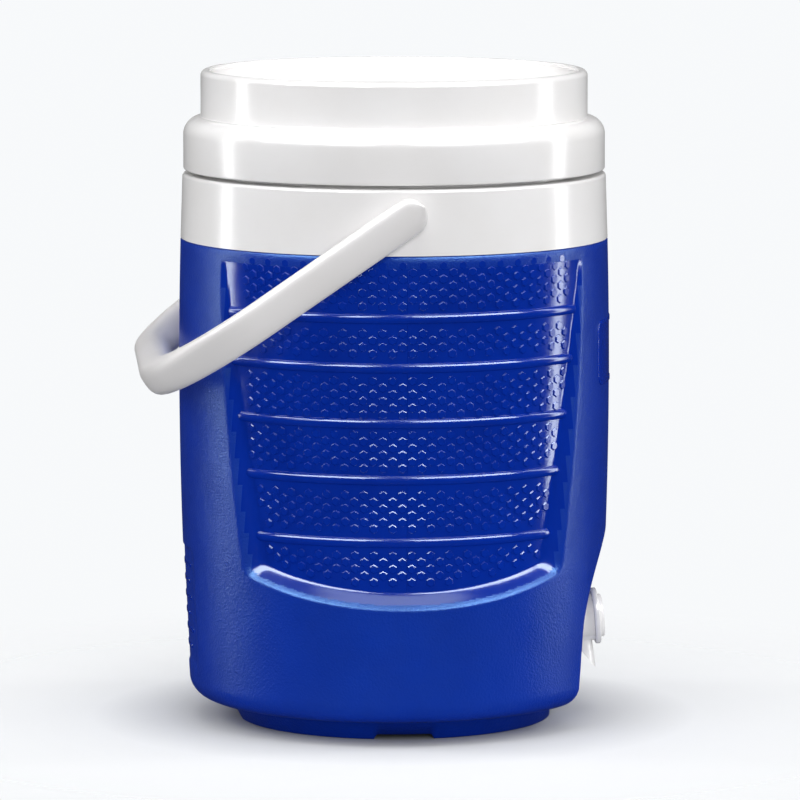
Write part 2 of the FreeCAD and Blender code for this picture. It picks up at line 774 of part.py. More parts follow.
# ---------------------------------------------------------------- bail
def bail_placement():
    turn = FreeCAD.Rotation(FreeCAD.Vector(1, 0, 0), -value("bail_rest_angle"))
    return FreeCAD.Placement(FreeCAD.Vector(0, 0, value("pivot_height")), turn)


def bail_handle():
    """A flat U in its own XY plane, then round ends with pivot holes, then the rest angle."""
    loop = padded("bail_loop", "XY_Plane", [
        ("arm_outer", "0"), ("arm_outer", "bail_end - bail_corner", "bail_corner", -1),
        ("arm_outer - bail_corner", "bail_end"), ("-(arm_outer - bail_corner)", "bail_end",
                                                  "bail_corner", -1),
        ("-arm_outer", "bail_end - bail_corner"), ("-arm_outer", "0"), ("-arm_inner", "0"),
        ("-arm_inner", "bail_reach - bail_inner_corner", "bail_inner_corner", 1),
        ("-(arm_inner - bail_inner_corner)", "bail_reach"),
        ("arm_inner - bail_inner_corner", "bail_reach", "bail_inner_corner", 1),
        ("arm_inner", "bail_reach - bail_inner_corner"), ("arm_inner", "0")],
        "bail_width", midplane=True)
    fillet(loop, "bail_round", lambda edge: edge.BoundBox.ZLength < 1e-3 and edge.BoundBox.YLength > 1e-3
           or abs(edge.BoundBox.YMin - value("bail_end")) < 1e-3 and edge.BoundBox.ZLength < 1e-3
           or abs(edge.BoundBox.YMin - value("bail_reach")) < 1e-3 and edge.BoundBox.ZLength < 1e-3)
    eyes, holes = [], []
    for name, side in SIDES:
        eyes.append(side_rod("eye_" + name, "bail_half", "arm_inner", "arm_outer", side, "0"))
        holes.append(side_rod("eye_hole_" + name, "pivot_radius + running_fit", "arm_inner - past",
                              "arm_outer - pivot_cover", side, "0"))
    handle = cut("bail_handle", joined("bail_whole", [loop] + eyes), holes)
    handle.Placement = bail_placement()
    return handle


def bail_pivot(name, side):
    """A stud that the arm turns on, put through the collar's boss from inside, where its head is."""
    shaft = side_rod("stud_shaft_" + name, "pivot_radius", "boss_start",
                     "arm_outer - pivot_cover - pivot_end_gap", side)
    head = side_rod("stud_head_" + name, "pivot_head_radius", "boss_start - pivot_head",
                    "boss_start", side)
    return joined("bail_pivot_" + name, [shaft, head])


# ---------------------------------------------------------------- spigot
def spigot_turned(label, outline):
    return on_spigot(turned(label, outline))


def spigot_ring(label, inner, outer, start, end):
    return spigot_turned(label, [(inner, start), (outer, start), (outer, end), (inner, end)])


def spigot_body():
    """Flange, barrel, threaded shank and the spout that hangs from the barrel."""
    barrel = spigot_turned("spigot_barrel", [
        ("0", "-shank_length"), ("shank_radius", "-shank_length"), ("shank_radius", "washer_end"),
        ("flange_radius", "washer_end"), ("flange_radius", "flange_end"),
        ("barrel_radius", "flange_end + flange_blend"), ("barrel_radius", "barrel_end"), ("0", "barrel_end")])
    spout = doc.addObject("Part::Cone", "spout_tube")
    bind(spout, "Radius1", "spout_radius")
    bind(spout, "Radius2", "spout_radius + spout_flare")
    bind(spout, "Height", "spout_length")
    along_down = FreeCAD.Rotation(FreeCAD.Vector(1, 0, 0), 90)
    local = FreeCAD.Placement(FreeCAD.Vector(0, 0, value("spout_place")), along_down)
    spout.Placement = spigot_place().multiply(local)
    slant = doc.addObject("Part::Box", "spout_slant")
    for side in ("Length", "Width", "Height"):
        bind(slant, side, "4 * past")
    tip = FreeCAD.Vector(0, -value("spout_length"), value("spout_place + spout_radius + spout_flare"))
    lean = FreeCAD.Rotation(FreeCAD.Vector(1, 0, 0), 90 - value("spout_cut_angle"))
    under = FreeCAD.Placement(tip, lean).multiply(
        FreeCAD.Placement(FreeCAD.Vector(-2, -4, -2) * value("past"), FreeCAD.Rotation()))
    slant.Placement = spigot_place().multiply(under)
    outside = joined("spigot_outside", [barrel, cut("spout_outside", spout, [slant])])
    upper_bore = doc.addObject("Part::Cylinder", "spout_upper_bore")
    bind(upper_bore, "Radius", "upper_bore")
    bind(upper_bore, "Height", "spout_length / 2 + overlap")
    upper = FreeCAD.Placement(FreeCAD.Vector(0, 0, value("chamber_end - land_radius")), along_down)
    upper_bore.Placement = spigot_place().multiply(upper)
    lower_bore = doc.addObject("Part::Cylinder", "spout_lower_bore")
    bind(lower_bore, "Radius", "spout_bore")
    bind(lower_bore, "Height", "spout_length * 2")
    lower = FreeCAD.Placement(FreeCAD.Vector(0, -value("barrel_radius + overlap"),
                                             value("spout_place")), along_down)
    lower_bore.Placement = spigot_place().multiply(lower)
    bores = [upper_bore, lower_bore,
             spigot_rod("shank_bore_tool", "shank_bore", "-shank_length - overlap", "land_start"),
             spigot_rod("land_bore", "land_radius", "land_start - overlap", "land_end + overlap"),
             spigot_rod("chamber_bore", "chamber_radius", "land_end", "chamber_end + overlap"),
             spigot_rod("front_bore_tool", "front_bore", "chamber_end", "barrel_end + overlap")]
    return cut("spigot_body", outside, bores)


def push_button():
    return spigot_turned("push_button", [
        ("stem_radius", "button_start"), ("stem_radius + button_hub", "button_start"),
        ("stem_radius + button_hub", "button_floor"), ("button_radius - button_skirt", "button_floor"),
        ("button_radius - button_skirt", "button_start"), ("button_radius", "button_start"),
        ("button_radius", "button_end - button_edge", "button_edge", -1),
        ("button_radius - button_edge", "button_end"),
        ("0", "button_end"), ("0", "button_floor"), ("stem_radius", "button_floor")])


def button_surround():
    """The ring snapped over the barrel's end, round the button."""
    start = "surround_end - surround_thick"
    return spigot_turned("button_surround", [
        ("barrel_radius", start), ("surround_radius - surround_round", start, "surround_round", -1),
        ("surround_radius", start + " + surround_round"),
        ("surround_radius", "surround_end - surround_edge", "surround_edge", -1),
        ("surround_radius - surround_edge", "surround_end"), ("front_bore", "surround_end"),
        ("front_bore", "barrel_end"), ("barrel_radius", "barrel_end")])


def spigot_nut():
    """The wing-sided nut that holds the spigot from inside the tank."""
    nut = doc.addObject("Part::Prism", "nut_prism")
    nut.Polygon = 8
    bind(nut, "Circumradius", "nut_radius")
    bind(nut, "Height", "nut_thick")
    low = value("-boss_end - washer_thick - nut_thick")
    nut.Placement = spigot_place().multiply(
        FreeCAD.Placement(FreeCAD.Vector(0, 0, low), FreeCAD.Rotation()))
    return cut("spigot_nut", nut, [spigot_rod("nut_hole", "shank_radius", "-boss_end - 2 * past", "0")])


def button_spring():
    """A compression spring between the guide and the button's underside."""
    length = value("button_floor - guide_end - 2 * coil_wire - 2 * coil_gap")
    path = Part.makeHelix(length / value("coil_turns"), length, value("coil_radius"))
    start = path.Vertexes[0].Point
    ring = Part.Wire(Part.makeCircle(value("coil_wire"), start, FreeCAD.Vector(0, 1, 0)))
    coil = Part.Wire(path.Edges).makePipeShell([ring], True, True)
    spring = doc.addObject("Part::Feature", "button_spring")
    spring.Shape = coil
    spring.Placement = spigot_place().multiply(FreeCAD.Placement(
        FreeCAD.Vector(0, 0, value("guide_end + coil_wire + coil_gap")), FreeCAD.Rotation()))
    return spring


def valve_parts():
    """The stem with its seal and clip, and the guide with its ring."""
    stem = spigot_rod("valve_stem", "stem_radius", "land_start - seal_thick - clip_thick - stem_tail",
                      "button_floor")
    seal_start = "land_start - seal_thick - seal_gap"
    seal = spigot_ring("valve_seal", "stem_radius", "seal_radius", seal_start, "land_start - seal_gap")
    clip = spigot_ring("seal_clip", "stem_radius", "clip_radius",
                       seal_start + " - clip_thick", seal_start)
    guide = spigot_turned("stem_guide", [
        ("stem_radius + running_fit", "guide_end - guide_step"), ("stem_radius + running_fit", "guide_end"),
        ("front_bore", "guide_end"), ("front_bore", "chamber_end"),
        ("stem_radius + ring_width", "chamber_end"), ("stem_radius + ring_width", "guide_end - guide_step")])
    seal_ring = spigot_ring("stem_ring", "stem_radius + running_fit", "stem_radius + ring_width",
                            "chamber_end", "guide_end - guide_step")
    return [stem, seal, clip, guide, seal_ring]


# ---------------------------------------------------------------- the whole dispenser
def build():
    foam_space = make_hollow()
    outside = liner_outside()
    shell = outer_shell(foam_space)
    liner = inner_liner(outside)
    foam = foam_insulation(foam_space, outside)
    pieces = [shell, liner, foam, neck_collar(), base_plug(),
              lid_cap(), lid_underside(), lid_foam(), lid_gasket(), bail_handle(),
              *[bail_pivot(name, side) for name, side in SIDES], spigot_body(),
              spigot_ring("spigot_gasket", "shank_radius + hole_play", "washer_radius",
                          "seat_rise", "washer_end"),
              spigot_ring("spigot_washer", "shank_radius + hole_play", "nut_radius - washer_inset",
                          "-boss_end - washer_thick", "-boss_end"),
              spigot_nut(), push_button(), button_surround(), button_spring()]
    return pieces + valve_parts()


def check(pieces):
    """Stop if anything failed to recompute or any piece has no valid solid."""
    for thing in doc.Objects:
        if "Invalid" in thing.State or "Error" in thing.State:
            raise RuntimeError("%s failed: %s" % (thing.Label, thing.State))
    for piece in pieces:
        if piece.Shape.isNull() or not piece.Shape.isValid() or not piece.Shape.Solids:
            raise RuntimeError("%s has no valid solid" % piece.Label)


def write(pieces):
    os.makedirs("parts", exist_ok=True)
    for piece in pieces:
        piece.Shape.exportStep("parts/%s.step" % piece.Label)
        box = piece.Shape.BoundBox
        print("%-18s %d solid %9.1f cm3  x %7.1f %7.1f  y %7.1f %7.1f  z %7.1f %7.1f" % (
            piece.Label, len(piece.Shape.Solids), piece.Shape.Volume / 1000,
            box.XMin, box.XMax, box.YMin, box.YMax, box.ZMin, box.ZMax))


fill_sheet()
parts = build()
doc.recompute()
check(parts)
write(parts)
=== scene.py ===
# %% [markdown]
# # An insulated beverage dispenser
# The model made in CAD is loaded as a fixed frame, and its boxes give the main positions below. This
# script gives the dispenser its looks: the moulded skin with its grip panels, the white collar, lid and
# bail, the spigot, their finishes, and a plain studio. Blender itself counts in metres.

# %% The frame
import json
import math
import bmesh
import bpy
from mathutils import Matrix, Vector


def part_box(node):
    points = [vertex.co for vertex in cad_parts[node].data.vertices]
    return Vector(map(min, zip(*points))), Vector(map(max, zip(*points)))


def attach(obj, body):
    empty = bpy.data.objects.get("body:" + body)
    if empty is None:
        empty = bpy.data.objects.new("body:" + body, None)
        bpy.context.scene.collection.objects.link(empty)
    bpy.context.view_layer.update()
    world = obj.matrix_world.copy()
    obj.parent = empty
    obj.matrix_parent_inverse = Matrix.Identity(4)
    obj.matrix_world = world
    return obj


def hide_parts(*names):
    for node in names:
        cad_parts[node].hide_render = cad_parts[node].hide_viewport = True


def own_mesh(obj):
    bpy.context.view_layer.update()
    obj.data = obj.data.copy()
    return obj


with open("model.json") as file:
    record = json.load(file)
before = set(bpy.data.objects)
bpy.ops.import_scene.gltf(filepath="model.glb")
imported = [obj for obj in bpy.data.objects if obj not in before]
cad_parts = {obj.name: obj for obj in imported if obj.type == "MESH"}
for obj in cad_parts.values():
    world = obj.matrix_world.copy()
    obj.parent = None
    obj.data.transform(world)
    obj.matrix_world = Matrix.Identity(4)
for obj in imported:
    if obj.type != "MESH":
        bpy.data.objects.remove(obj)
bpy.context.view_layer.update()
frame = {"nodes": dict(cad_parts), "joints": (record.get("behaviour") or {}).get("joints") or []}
MM = 0.001

# %% [markdown]
# Sizes that several pieces share are read from the frame once, and turned into millimetres, because
# plastic mouldings are easier to think about in millimetres.

# %% Shared sizes
def corners(node):
    low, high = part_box(node)
    return low / MM, high / MM


collar_low, collar_high = corners("neck_collar")
lid_low, lid_high = corners("lid_cap")
BODY = collar_high.x                 # radius where shell meets collar
JOINT = collar_low.z                 # height of that joint
SKIRT = lid_high.x
LID_TOP = lid_high.z
BASE = 12.0                          # underside of the shell above the floor
print("body radius", round(BODY, 1), "joint", round(JOINT, 1), "lid top", round(LID_TOP, 1))

# %% [markdown]
# A material is a tree of nodes. Adding Math nodes by hand hides the formula they stand for, so a small
# class wraps a socket: `a * 2 + b` on two wrapped sockets adds the Math nodes that work it out. Every
# other node comes from one method, which takes the node's type, its settings and its inputs.

# %% Shader expressions
class Signal:
    """One output socket of a material's nodes, used in ordinary sums."""

    def __init__(self, finish, socket):
        self.finish = finish
        self.socket = socket

    def math(self, operation, *others, clamp=False):
        settings = {"operation": operation, "use_clamp": clamp}
        return self.finish.node("ShaderNodeMath", settings, self, *others)

    def __add__(self, other):
        return self.math("ADD", other)

    __radd__ = __add__

    def __sub__(self, other):
        return self.math("SUBTRACT", other)

    def __rsub__(self, other):
        return self * -1 + other

    def __mul__(self, other):
        return self.math("MULTIPLY", other)

    __rmul__ = __mul__

    def __truediv__(self, other):
        return self.math("DIVIDE", other)

    def clamped(self):
        return self.math("ADD", 0.0, clamp=True)

    def between(self, low, high):
        """0 below low, 1 above high and a straight line from one to the other."""
        return ((self - low) / (high - low)).clamped()


class Finish:
    """A node material, started with its Principled shader's plain values."""

    def __init__(self, name, **values):
        self.material = bpy.data.materials.new(name)
        self.material.use_nodes = True
        self.tree = self.material.node_tree
        self.shader = self.tree.nodes["Principled BSDF"]
        for socket, value in values.items():
            self.shader.inputs[socket.replace("_", " ")].default_value = value

    def node(self, kind, settings, *inputs, output=0, **named):
        made = self.tree.nodes.new(kind)
        for setting, value in settings.items():
            setattr(made, setting, value)
        pairs = list(enumerate(inputs))
        pairs += [(key.replace("_", " "), item) for key, item in named.items()]
        for key, item in pairs:
            if isinstance(item, Signal):
                self.tree.links.new(item.socket, made.inputs[key])
            else:
                made.inputs[key].default_value = item
        return Signal(self, made.outputs[output])

    def place(self):
        """Object coordinates, in metres in the dispenser's own frame."""
        return self.node("ShaderNodeTexCoord", {}, output="Object")

    def noise(self, size_mm, detail=2.0, roughness=0.5):
        """Soft noise whose blobs are about size_mm across."""
        return self.node("ShaderNodeTexNoise", {}, Vector=self.place(), Scale=1.0 / (size_mm * MM),
                         Detail=detail, Roughness=roughness)

    def blend(self, factor, first, second):
        """A colour between two colours."""
        mix = self.tree.nodes.new("ShaderNodeMix")
        mix.data_type = "RGBA"
        self.tree.links.new(factor.socket, mix.inputs["Factor"])
        for key, item in (("A", first), ("B", second)):
            socket = [s for s in mix.inputs if s.name == key and s.type == "RGBA"][0]
            if isinstance(item, Signal):
                self.tree.links.new(item.socket, socket)
            else:
                socket.default_value = item
        return Signal(self, [s for s in mix.outputs if s.type == "RGBA"][0])

    def feed(self, socket, signal):
        self.tree.links.new(signal.socket, self.shader.inputs[socket])

    def bump(self, height, depth_mm):
        """Tilt the surface by a height of 0 to 1 that stands for depth_mm."""
        self.feed("Normal", self.node("ShaderNodeBump", {}, Strength=1.0,
                                      Distance=depth_mm * MM, Height=height))


print("shader helpers ready")

# %% [markdown]
# The shell is blue polyethylene blown in a blasted mould: the plain areas have a fine leathery grain,
# while panels and ribs are smoother. A leather image could be laid over it, but noise has no seams.
# One noise makes the pebbles, a larger and fainter one the slight waviness that blown plastic has, a
# third varies the gloss where hands have rubbed it, and the largest varies the tone.

# %% Blue shell plastics
BLUE = (0.0003, 0.025, 0.34, 1.0)
DEEP_BLUE = (0.0002, 0.021, 0.30, 1.0)
TONE_SIZE, RUB_SIZE, PEBBLE_SIZE, WAVE_SIZE = 38.0, 24.0, 1.3, 16.0
RUB_SPREAD = 0.12
PEBBLE_SHARE = 0.6


def blue_plastic(name, grain_depth, roughness, sheen):
    finish = Finish(name, Roughness=roughness, IOR=1.48, Specular_Tint=sheen)
    tone = finish.noise(TONE_SIZE, 3.0).between(0.35, 0.7)
    finish.feed("Base Color", finish.blend(tone, BLUE, DEEP_BLUE))
    rub = finish.noise(RUB_SIZE, 4.0, 0.6)
    finish.feed("Roughness", rub * RUB_SPREAD + (roughness - RUB_SPREAD / 2))
    pebbles = finish.noise(PEBBLE_SIZE, 3.0, 0.55)
    wave = finish.noise(WAVE_SIZE, 1.0)
    finish.bump(pebbles * PEBBLE_SHARE + wave * (1 - PEBBLE_SHARE), grain_depth)
    return finish.material


grained_blue = blue_plastic("grained blue polyethylene", grain_depth=0.44, roughness=0.33,
                            sheen=(0.38, 0.78, 1.0, 1.0))
smooth_blue = blue_plastic("smooth blue polyethylene", grain_depth=0.04, roughness=0.15,
                           sheen=(0.8, 0.93, 1.0, 1.0))
print("blue finishes made")

# %% [markdown]
# The collar, lid and spigot are injection-moulded white polypropylene. It is glossy, a little
# translucent, and shrinks slightly as it sets, so its reflections waver. The bail is the same plastic
# with a satin surface and a slightly warmer tone.

# %% White plastics
WARM_SHADE = (0.965, 0.96, 0.95)
GLOSS_SPREAD = 0.10
SHRINK_SIZE, SPECK_SIZE = 26.0, 0.7


def white_plastic(name, colour, roughness, ripple):
    finish = Finish(name, Roughness=roughness, IOR=1.49)
    shade = tuple(part * share for part, share in zip(colour, WARM_SHADE)) + (1.0,)
    tone = finish.noise(45.0, 3.0).between(0.35, 0.75)
    finish.feed("Base Color", finish.blend(tone, colour, shade))
    gloss = finish.noise(9.0, 3.0)
    finish.feed("Roughness", gloss * GLOSS_SPREAD + (roughness - GLOSS_SPREAD / 2))
    shrink, speck = finish.noise(SHRINK_SIZE, 1.0), finish.noise(SPECK_SIZE, 2.0)
    finish.bump(shrink * 0.85 + speck * 0.15, ripple)
    return finish.material


gloss_white = white_plastic("gloss white polypropylene", (0.86, 0.85, 0.85, 1.0),
                            roughness=0.20, ripple=0.08)
satin_white = white_plastic("satin white polypropylene", (0.73, 0.715, 0.715, 1.0),
                            roughness=0.38, ripple=0.08)
liner_white = white_plastic("food liner polyethylene", (0.80, 0.80, 0.78, 1.0),
                            roughness=0.45, ripple=0.12)
print("white finishes made")

# %% [markdown]
# Three more finishes are hidden until the lid comes off or the spigot is taken apart: cream foam with
# small cells, milky silicone, and drawn spring wire.

# %% Foam, silicone and steel
FOAM_SHADE, FOAM_CREAM = (0.62, 0.50, 0.26, 1), (0.75, 0.66, 0.42, 1)
MILK_SHADE, MILK = (0.60, 0.60, 0.57, 1), (0.68, 0.68, 0.66, 1)
WIRE_SHADE, WIRE = (0.50, 0.50, 0.49, 1), (0.62, 0.62, 0.60, 1)
CELLS_PER_METRE = 700.0


def foam_finish():
    finish = Finish("poured foam", Roughness=0.9)
    cells = finish.node("ShaderNodeTexVoronoi", {"feature": "F1"}, Vector=finish.place(),
                        Scale=CELLS_PER_METRE)
    finish.feed("Base Color", finish.blend(cells.between(0.1, 0.8), FOAM_SHADE, FOAM_CREAM))
    finish.bump(cells, 0.4)
    return finish.material


def silicone_finish():
    finish = Finish("milky silicone", Roughness=0.5, IOR=1.41)
    finish.feed("Base Color", finish.blend(finish.noise(6.0), MILK_SHADE, MILK))
    finish.bump(finish.noise(0.5), 0.03)
    return finish.material


def steel_finish():
    finish = Finish("drawn spring wire", Metallic=1.0)
    finish.feed("Base Color", finish.blend(finish.noise(2.0), WIRE_SHADE, WIRE))
    finish.feed("Roughness", finish.noise(0.4) * 0.2 + 0.2)
    return finish.material


foam, silicone, steel = foam_finish(), silicone_finish(), steel_finish()
print("hidden finishes made")

# %% [markdown]
# Every piece starts as a bmesh and ends the same way: doubles merged, millimetres turned into metres,
# normals turned outwards, smooth shading with real edges kept sharp, a material and the record's slot.

# %% Turning a bmesh into a piece
SAME_PLACE = 1e-4                    # points this close, in millimetres, are one point


def finish_piece(bm, name, body, material, sharp=35.0, outward=True):
    bmesh.ops.remove_doubles(bm, verts=bm.verts, dist=SAME_PLACE)
    if outward:
        bmesh.ops.recalc_face_normals(bm, faces=bm.faces)
    bmesh.ops.scale(bm, vec=(MM, MM, MM), verts=bm.verts)
    mesh = bpy.data.meshes.new(name)
    bm.to_mesh(mesh)
    bm.free()
    mesh.materials.append(material)
    piece = bpy.data.objects.new(name, mesh)
    bpy.context.scene.collection.objects.link(piece)
    mesh.shade_smooth()
    mesh.set_sharp_from_angle(angle=math.radians(sharp))
    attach(piece, body)
    print("%-20s %6d faces on %s" % (name, len(mesh.polygons), body))
    return piece


def arc(centre, radius, start, end, steps):
    """Points on an arc of an outline, from one angle to another, in degrees."""
    places = [math.radians(start + (end - start) * step / steps) for step in range(steps + 1)]
    return [(centre[0] + radius * math.cos(a), centre[1] + radius * math.sin(a)) for a in places]


def rounded(outline, radius, steps):
    """An open outline of (x, y) points with its inner corners rounded, as far as their sides allow."""
    points = [Vector(point) for point in outline]
    result = [points[0]]
    for before, corner, after in zip(points, points[1:], points[2:]):
        back, ahead = before - corner, after - corner
        turn = back.angle(ahead)
        longest = 0.45 * min(back.length, ahead.length)
        reach = min(radius / math.tan(turn / 2), longest)
        first = corner + back.normalized() * reach
        last = corner + ahead.normalized() * reach
        for step in range(steps + 1):
            t = step / steps
            result.append(first * (1 - t) ** 2 + corner * 2 * t * (1 - t) + last * t ** 2)
    result.append(points[-1])
    return [(point.x, point.y) for point in result]


def spun(outline, steps, closed=False):
    """A bmesh turned about Z from (radius, height) points."""
    bm = bmesh.new()
    verts = [bm.verts.new((radius, 0, height)) for radius, height in outline]
    following = verts[1:] + verts[:1] if closed else verts[1:]
    edges = [bm.edges.new(pair) for pair in zip(verts, following)]
    bmesh.ops.spin(bm, geom=verts + edges, cent=(0, 0, 0), axis=(0, 0, 1), angle=2 * math.pi,
                   steps=steps, use_merge=True)
    bmesh.ops.remove_doubles(bm, verts=bm.verts, dist=SAME_PLACE)
    return bm


print("mesh helpers ready")

# %% [markdown]
# ## The shell's form
# The barrel is a slightly swollen cylinder. Its radius at any height is worked out by one function, and
# so are the sunk grip panels, the arched spigot recess and the label plate's seat, as depths that ease
# in across a slope. The skin is spun as a fine grid and its vertices are then moved by those formulas,
# which is close to how a blow mould presses its shape into a soft tube. Booleans could cut the panels
# instead, but they leave hard edges where the real ones are soft.

# %% Barrel and panel formulas
BASE_RADIUS = BODY - 4.2
CORNER = 12.0
BULGE = 2.75
PANEL_LOW, PANEL_LEDGE, PANEL_TOP = 75.7, 9.0, JOINT - 7.6
PANEL_SINK, PANEL_RISE = 9.0, 8.4            # how deep the face is at its foot, and how far it comes out
PANEL_HALF, PANEL_TAPER, TAPER_RUN = 56.0, 8.0, 161.0        # degrees, degrees, millimetres
SLOPE_SHARE, SLOPE_POWER, SLOPE_LEAST = 0.5, 1.4, 0.8
LEDGE_RISE, LEDGE_SPAN = 7.3, 33.0           # the ledge rises this much at this many degrees
TOP_SLOPE, MEETING, PANEL_SOFT = 6.0, 0.5, 0.07
POCKET_FACE, POCKET_HALF, POCKET_TOP = BODY - 32.0, 56.5, 107.0


def ease(t, softness=0.16):
    """0 to 1 in a straight slope with rounded ends."""
    t = min(max(t, 0.0), 1.0)
    smooth = t * t * (3 - 2 * t)
    return smooth * (softness * 4) + t * (1 - softness * 4)


def barrel(z):
    share = (z - BASE - CORNER) / (JOINT - BASE - CORNER)
    chord = BASE_RADIUS + (BODY - BASE_RADIUS) * share
    return chord + BULGE * (1 - (2 * share - 1) ** 2)


def panel_face(z):
    share = (z - PANEL_LOW - PANEL_LEDGE) / (PANEL_TOP - PANEL_LOW - PANEL_LEDGE)
    return BODY - PANEL_SINK + PANEL_RISE * min(max(share, 0.0), 1.0)


def panel_side(z):
    """Half the angle that a panel takes at a height, in degrees."""
    drop = min(max((PANEL_TOP - z) / TAPER_RUN, 0.0), 1.2)
    return PANEL_HALF - PANEL_TAPER * drop ** 1.5


def side_width(z):
    """How wide the slope at a panel's side is: narrow where the panel is shallow, near its top."""
    depth = max(barrel(z) - panel_face(z), 0.5)
    return SLOPE_SHARE * depth ** SLOPE_POWER + SLOPE_LEAST


def panel_foot(angle):
    """Height of the ledge's lower edge, which curves up on both sides."""
    return PANEL_LOW + LEDGE_RISE * (angle / LEDGE_SPAN) ** 2


def panel_share(angle, z):
    """How far a point is sunk towards the panel's face, from 0 to 1; angle is from the X axis."""
    aside = math.radians(panel_side(z) - angle) * BODY / side_width(z)
    above = (z - panel_foot(angle)) / PANEL_LEDGE
    below_top = (PANEL_TOP + TOP_SLOPE / 2 - z) / TOP_SLOPE
    near = min(aside, above)
    if abs(aside - above) < MEETING:
        near -= 0.5 * (MEETING - abs(aside - above)) ** 2
    return ease(min(near, below_top), PANEL_SOFT)


print("panel face is", round(barrel(90) - panel_face(90), 1), "mm deep at its foot")

# %% [markdown]
# The recess is an arch: straight sides and a round top. Its wall is a steep slope with a rounded lip.
# Points in front of its floor are pushed back along Y, so the barrel's own curve is kept elsewhere.

# %% Recess and plate formulas
def arch_inside(x, z):
    """Distance inside the recess's outline, negative outside."""
    centre = POCKET_TOP - POCKET_HALF
    return POCKET_HALF - (abs(x) if z < centre else math.hypot(x, z - centre))


def plate_inside(x, z, width, low, height, corner):
    """Distance inside an upright rounded rectangle, negative outside."""
    dx = abs(x) - width / 2 + corner
    dz = abs(z - low - height / 2) - height / 2 + corner
    return corner - math.hypot(max(dx, 0), max(dz, 0)) - min(max(dx, dz), 0)


LABEL = dict(width=62.0, low=31.0, height=67.5, corner=6.0)
LABEL_DEPTH, LABEL_SLOPE = 0.8, 1.6
LIP, LIP_SLOPE, LIP_SOFT = 1.2, 5.0, 0.2
SIDE_FROM = 100.0                    # points further from the axis than this are on the shell's side


def moulded(x, y, z):
    """Where the mould puts a point of the plain barrel."""
    radius = math.hypot(x, y)
    if radius < 1e-6:
        return x, y, z
    if radius > POCKET_FACE and PANEL_LOW - 2 < z < PANEL_TOP + 4:
        angle = math.degrees(math.atan2(abs(y), abs(x)))
        share = panel_share(angle, z)
        target = radius + (panel_face(z) - barrel(z)) * share
        x, y = x * target / radius, y * target / radius
    if y > 0 and radius > SIDE_FROM:
        y -= LABEL_DEPTH * ease(plate_inside(x, z, **LABEL) / LABEL_SLOPE)
    inside = arch_inside(x, z)
    if y < -POCKET_FACE and inside > -LIP:
        y += (-POCKET_FACE - y) * ease((inside + LIP) / LIP_SLOPE, LIP_SOFT)
    return x, y, z


print("recess floor is", round(BODY - POCKET_FACE, 1), "mm behind the front")

# %% [markdown]
# ## The skin
# The outline runs from the axis under the shell, over the foot ring, up the barrel, over the shoulder
# that the collar sits on. A spin turns it into a grid, whose rows are closest over the panels' ledges,
# where the form changes most. Even rows would be simpler, but would need three times as many faces.

# %% Spin the outline
FOOT, FOOT_LOW, FOOT_IN = BODY - 25.0, BODY - 31.8, BODY - 38.8
FOOT_ROUND = 1.6
STEP, STEP_TOP = BODY - 4.7, corners("outer_shell")[1].z
COLUMNS = 360
LOW_PITCH, LOW_ROWS = 2.3, 20
LEDGE_START, LEDGE_PITCH, LEDGE_ROWS = 71.0, 0.65, 44
UPPER_START, UPPER_END, UPPER_ROWS = 99.6, JOINT - 1.2, 58


def skin_outline():
    foot = rounded([(0.0, BASE), (FOOT_IN, BASE), (FOOT_IN, 0.0), (FOOT_LOW, 0.0), (FOOT, BASE),
                    (BASE_RADIUS - CORNER, BASE)], FOOT_ROUND, 3)
    foot.insert(1, (FOOT_IN / 2, BASE))
    corner = arc((BASE_RADIUS - CORNER, BASE + CORNER), CORNER, -90, 0, 10)
    heights = [BASE + CORNER + LOW_PITCH * row for row in range(1, LOW_ROWS + 1)]
    heights += [LEDGE_START + LEDGE_PITCH * row for row in range(LEDGE_ROWS)]
    heights += [UPPER_START + (UPPER_END - UPPER_START) * row / UPPER_ROWS
                for row in range(1, UPPER_ROWS + 1)]
    side = [(barrel(z), z) for z in heights]
    top = [(BODY - 0.4, JOINT - 0.4), (BODY - 1.4, JOINT), (STEP, JOINT), (STEP, STEP_TOP)]
    return foot[:-1] + corner + side + top


bm = spun(skin_outline(), COLUMNS)
print("grid of", len(bm.faces), "faces")

# %% [markdown]
# The recess's wall is steep, so the grid is divided twice more in a band along its edge, and stays
# coarse elsewhere.

# %% Finer faces along the recess's edge
LIP_BAND = 7.5


def near_lip(face):
    centre = face.calc_center_median()
    at_front = centre.y < -80 and centre.z < POCKET_TOP + 6
    return at_front and abs(arch_inside(centre.x, centre.z)) < LIP_BAND


for level in range(2):
    band = {edge for face in bm.faces if near_lip(face) for edge in face.edges}
    bmesh.ops.subdivide_edges(bm, edges=list(band), cuts=1, use_grid_fill=True)
print("refined to", len(bm.faces), "faces")

# %% [markdown]
# Now every vertex goes where the mould puts it. The foot ring also gets its four shallow notches, which
# let water run out from under the dispenser.

# %% Press the mould's shape into it
NOTCH_HALF, NOTCH_RISE, NOTCH_SLOPE = 16.5, 3.0, 1.6
for vert in bm.verts:
    x, y, z = moulded(*vert.co)
    if math.hypot(x, y) < FOOT + 1 and z < NOTCH_RISE:
        aside = min(abs(x), abs(y))
        z += (NOTCH_RISE - z) * ease((NOTCH_HALF - aside) / NOTCH_SLOPE)
    vert.co = (x, y, z)
print("mould pressed in")

# %% [markdown]
# A real shell has a thickness, seen where the lid is off and through the parts that are cut away. The
# inner wall is a second, coarser turned shape, flattened behind the recess, and joined to the skin's top
# edge with bridged loops. Solidify would copy all of the outside's fine faces, which nobody sees there.

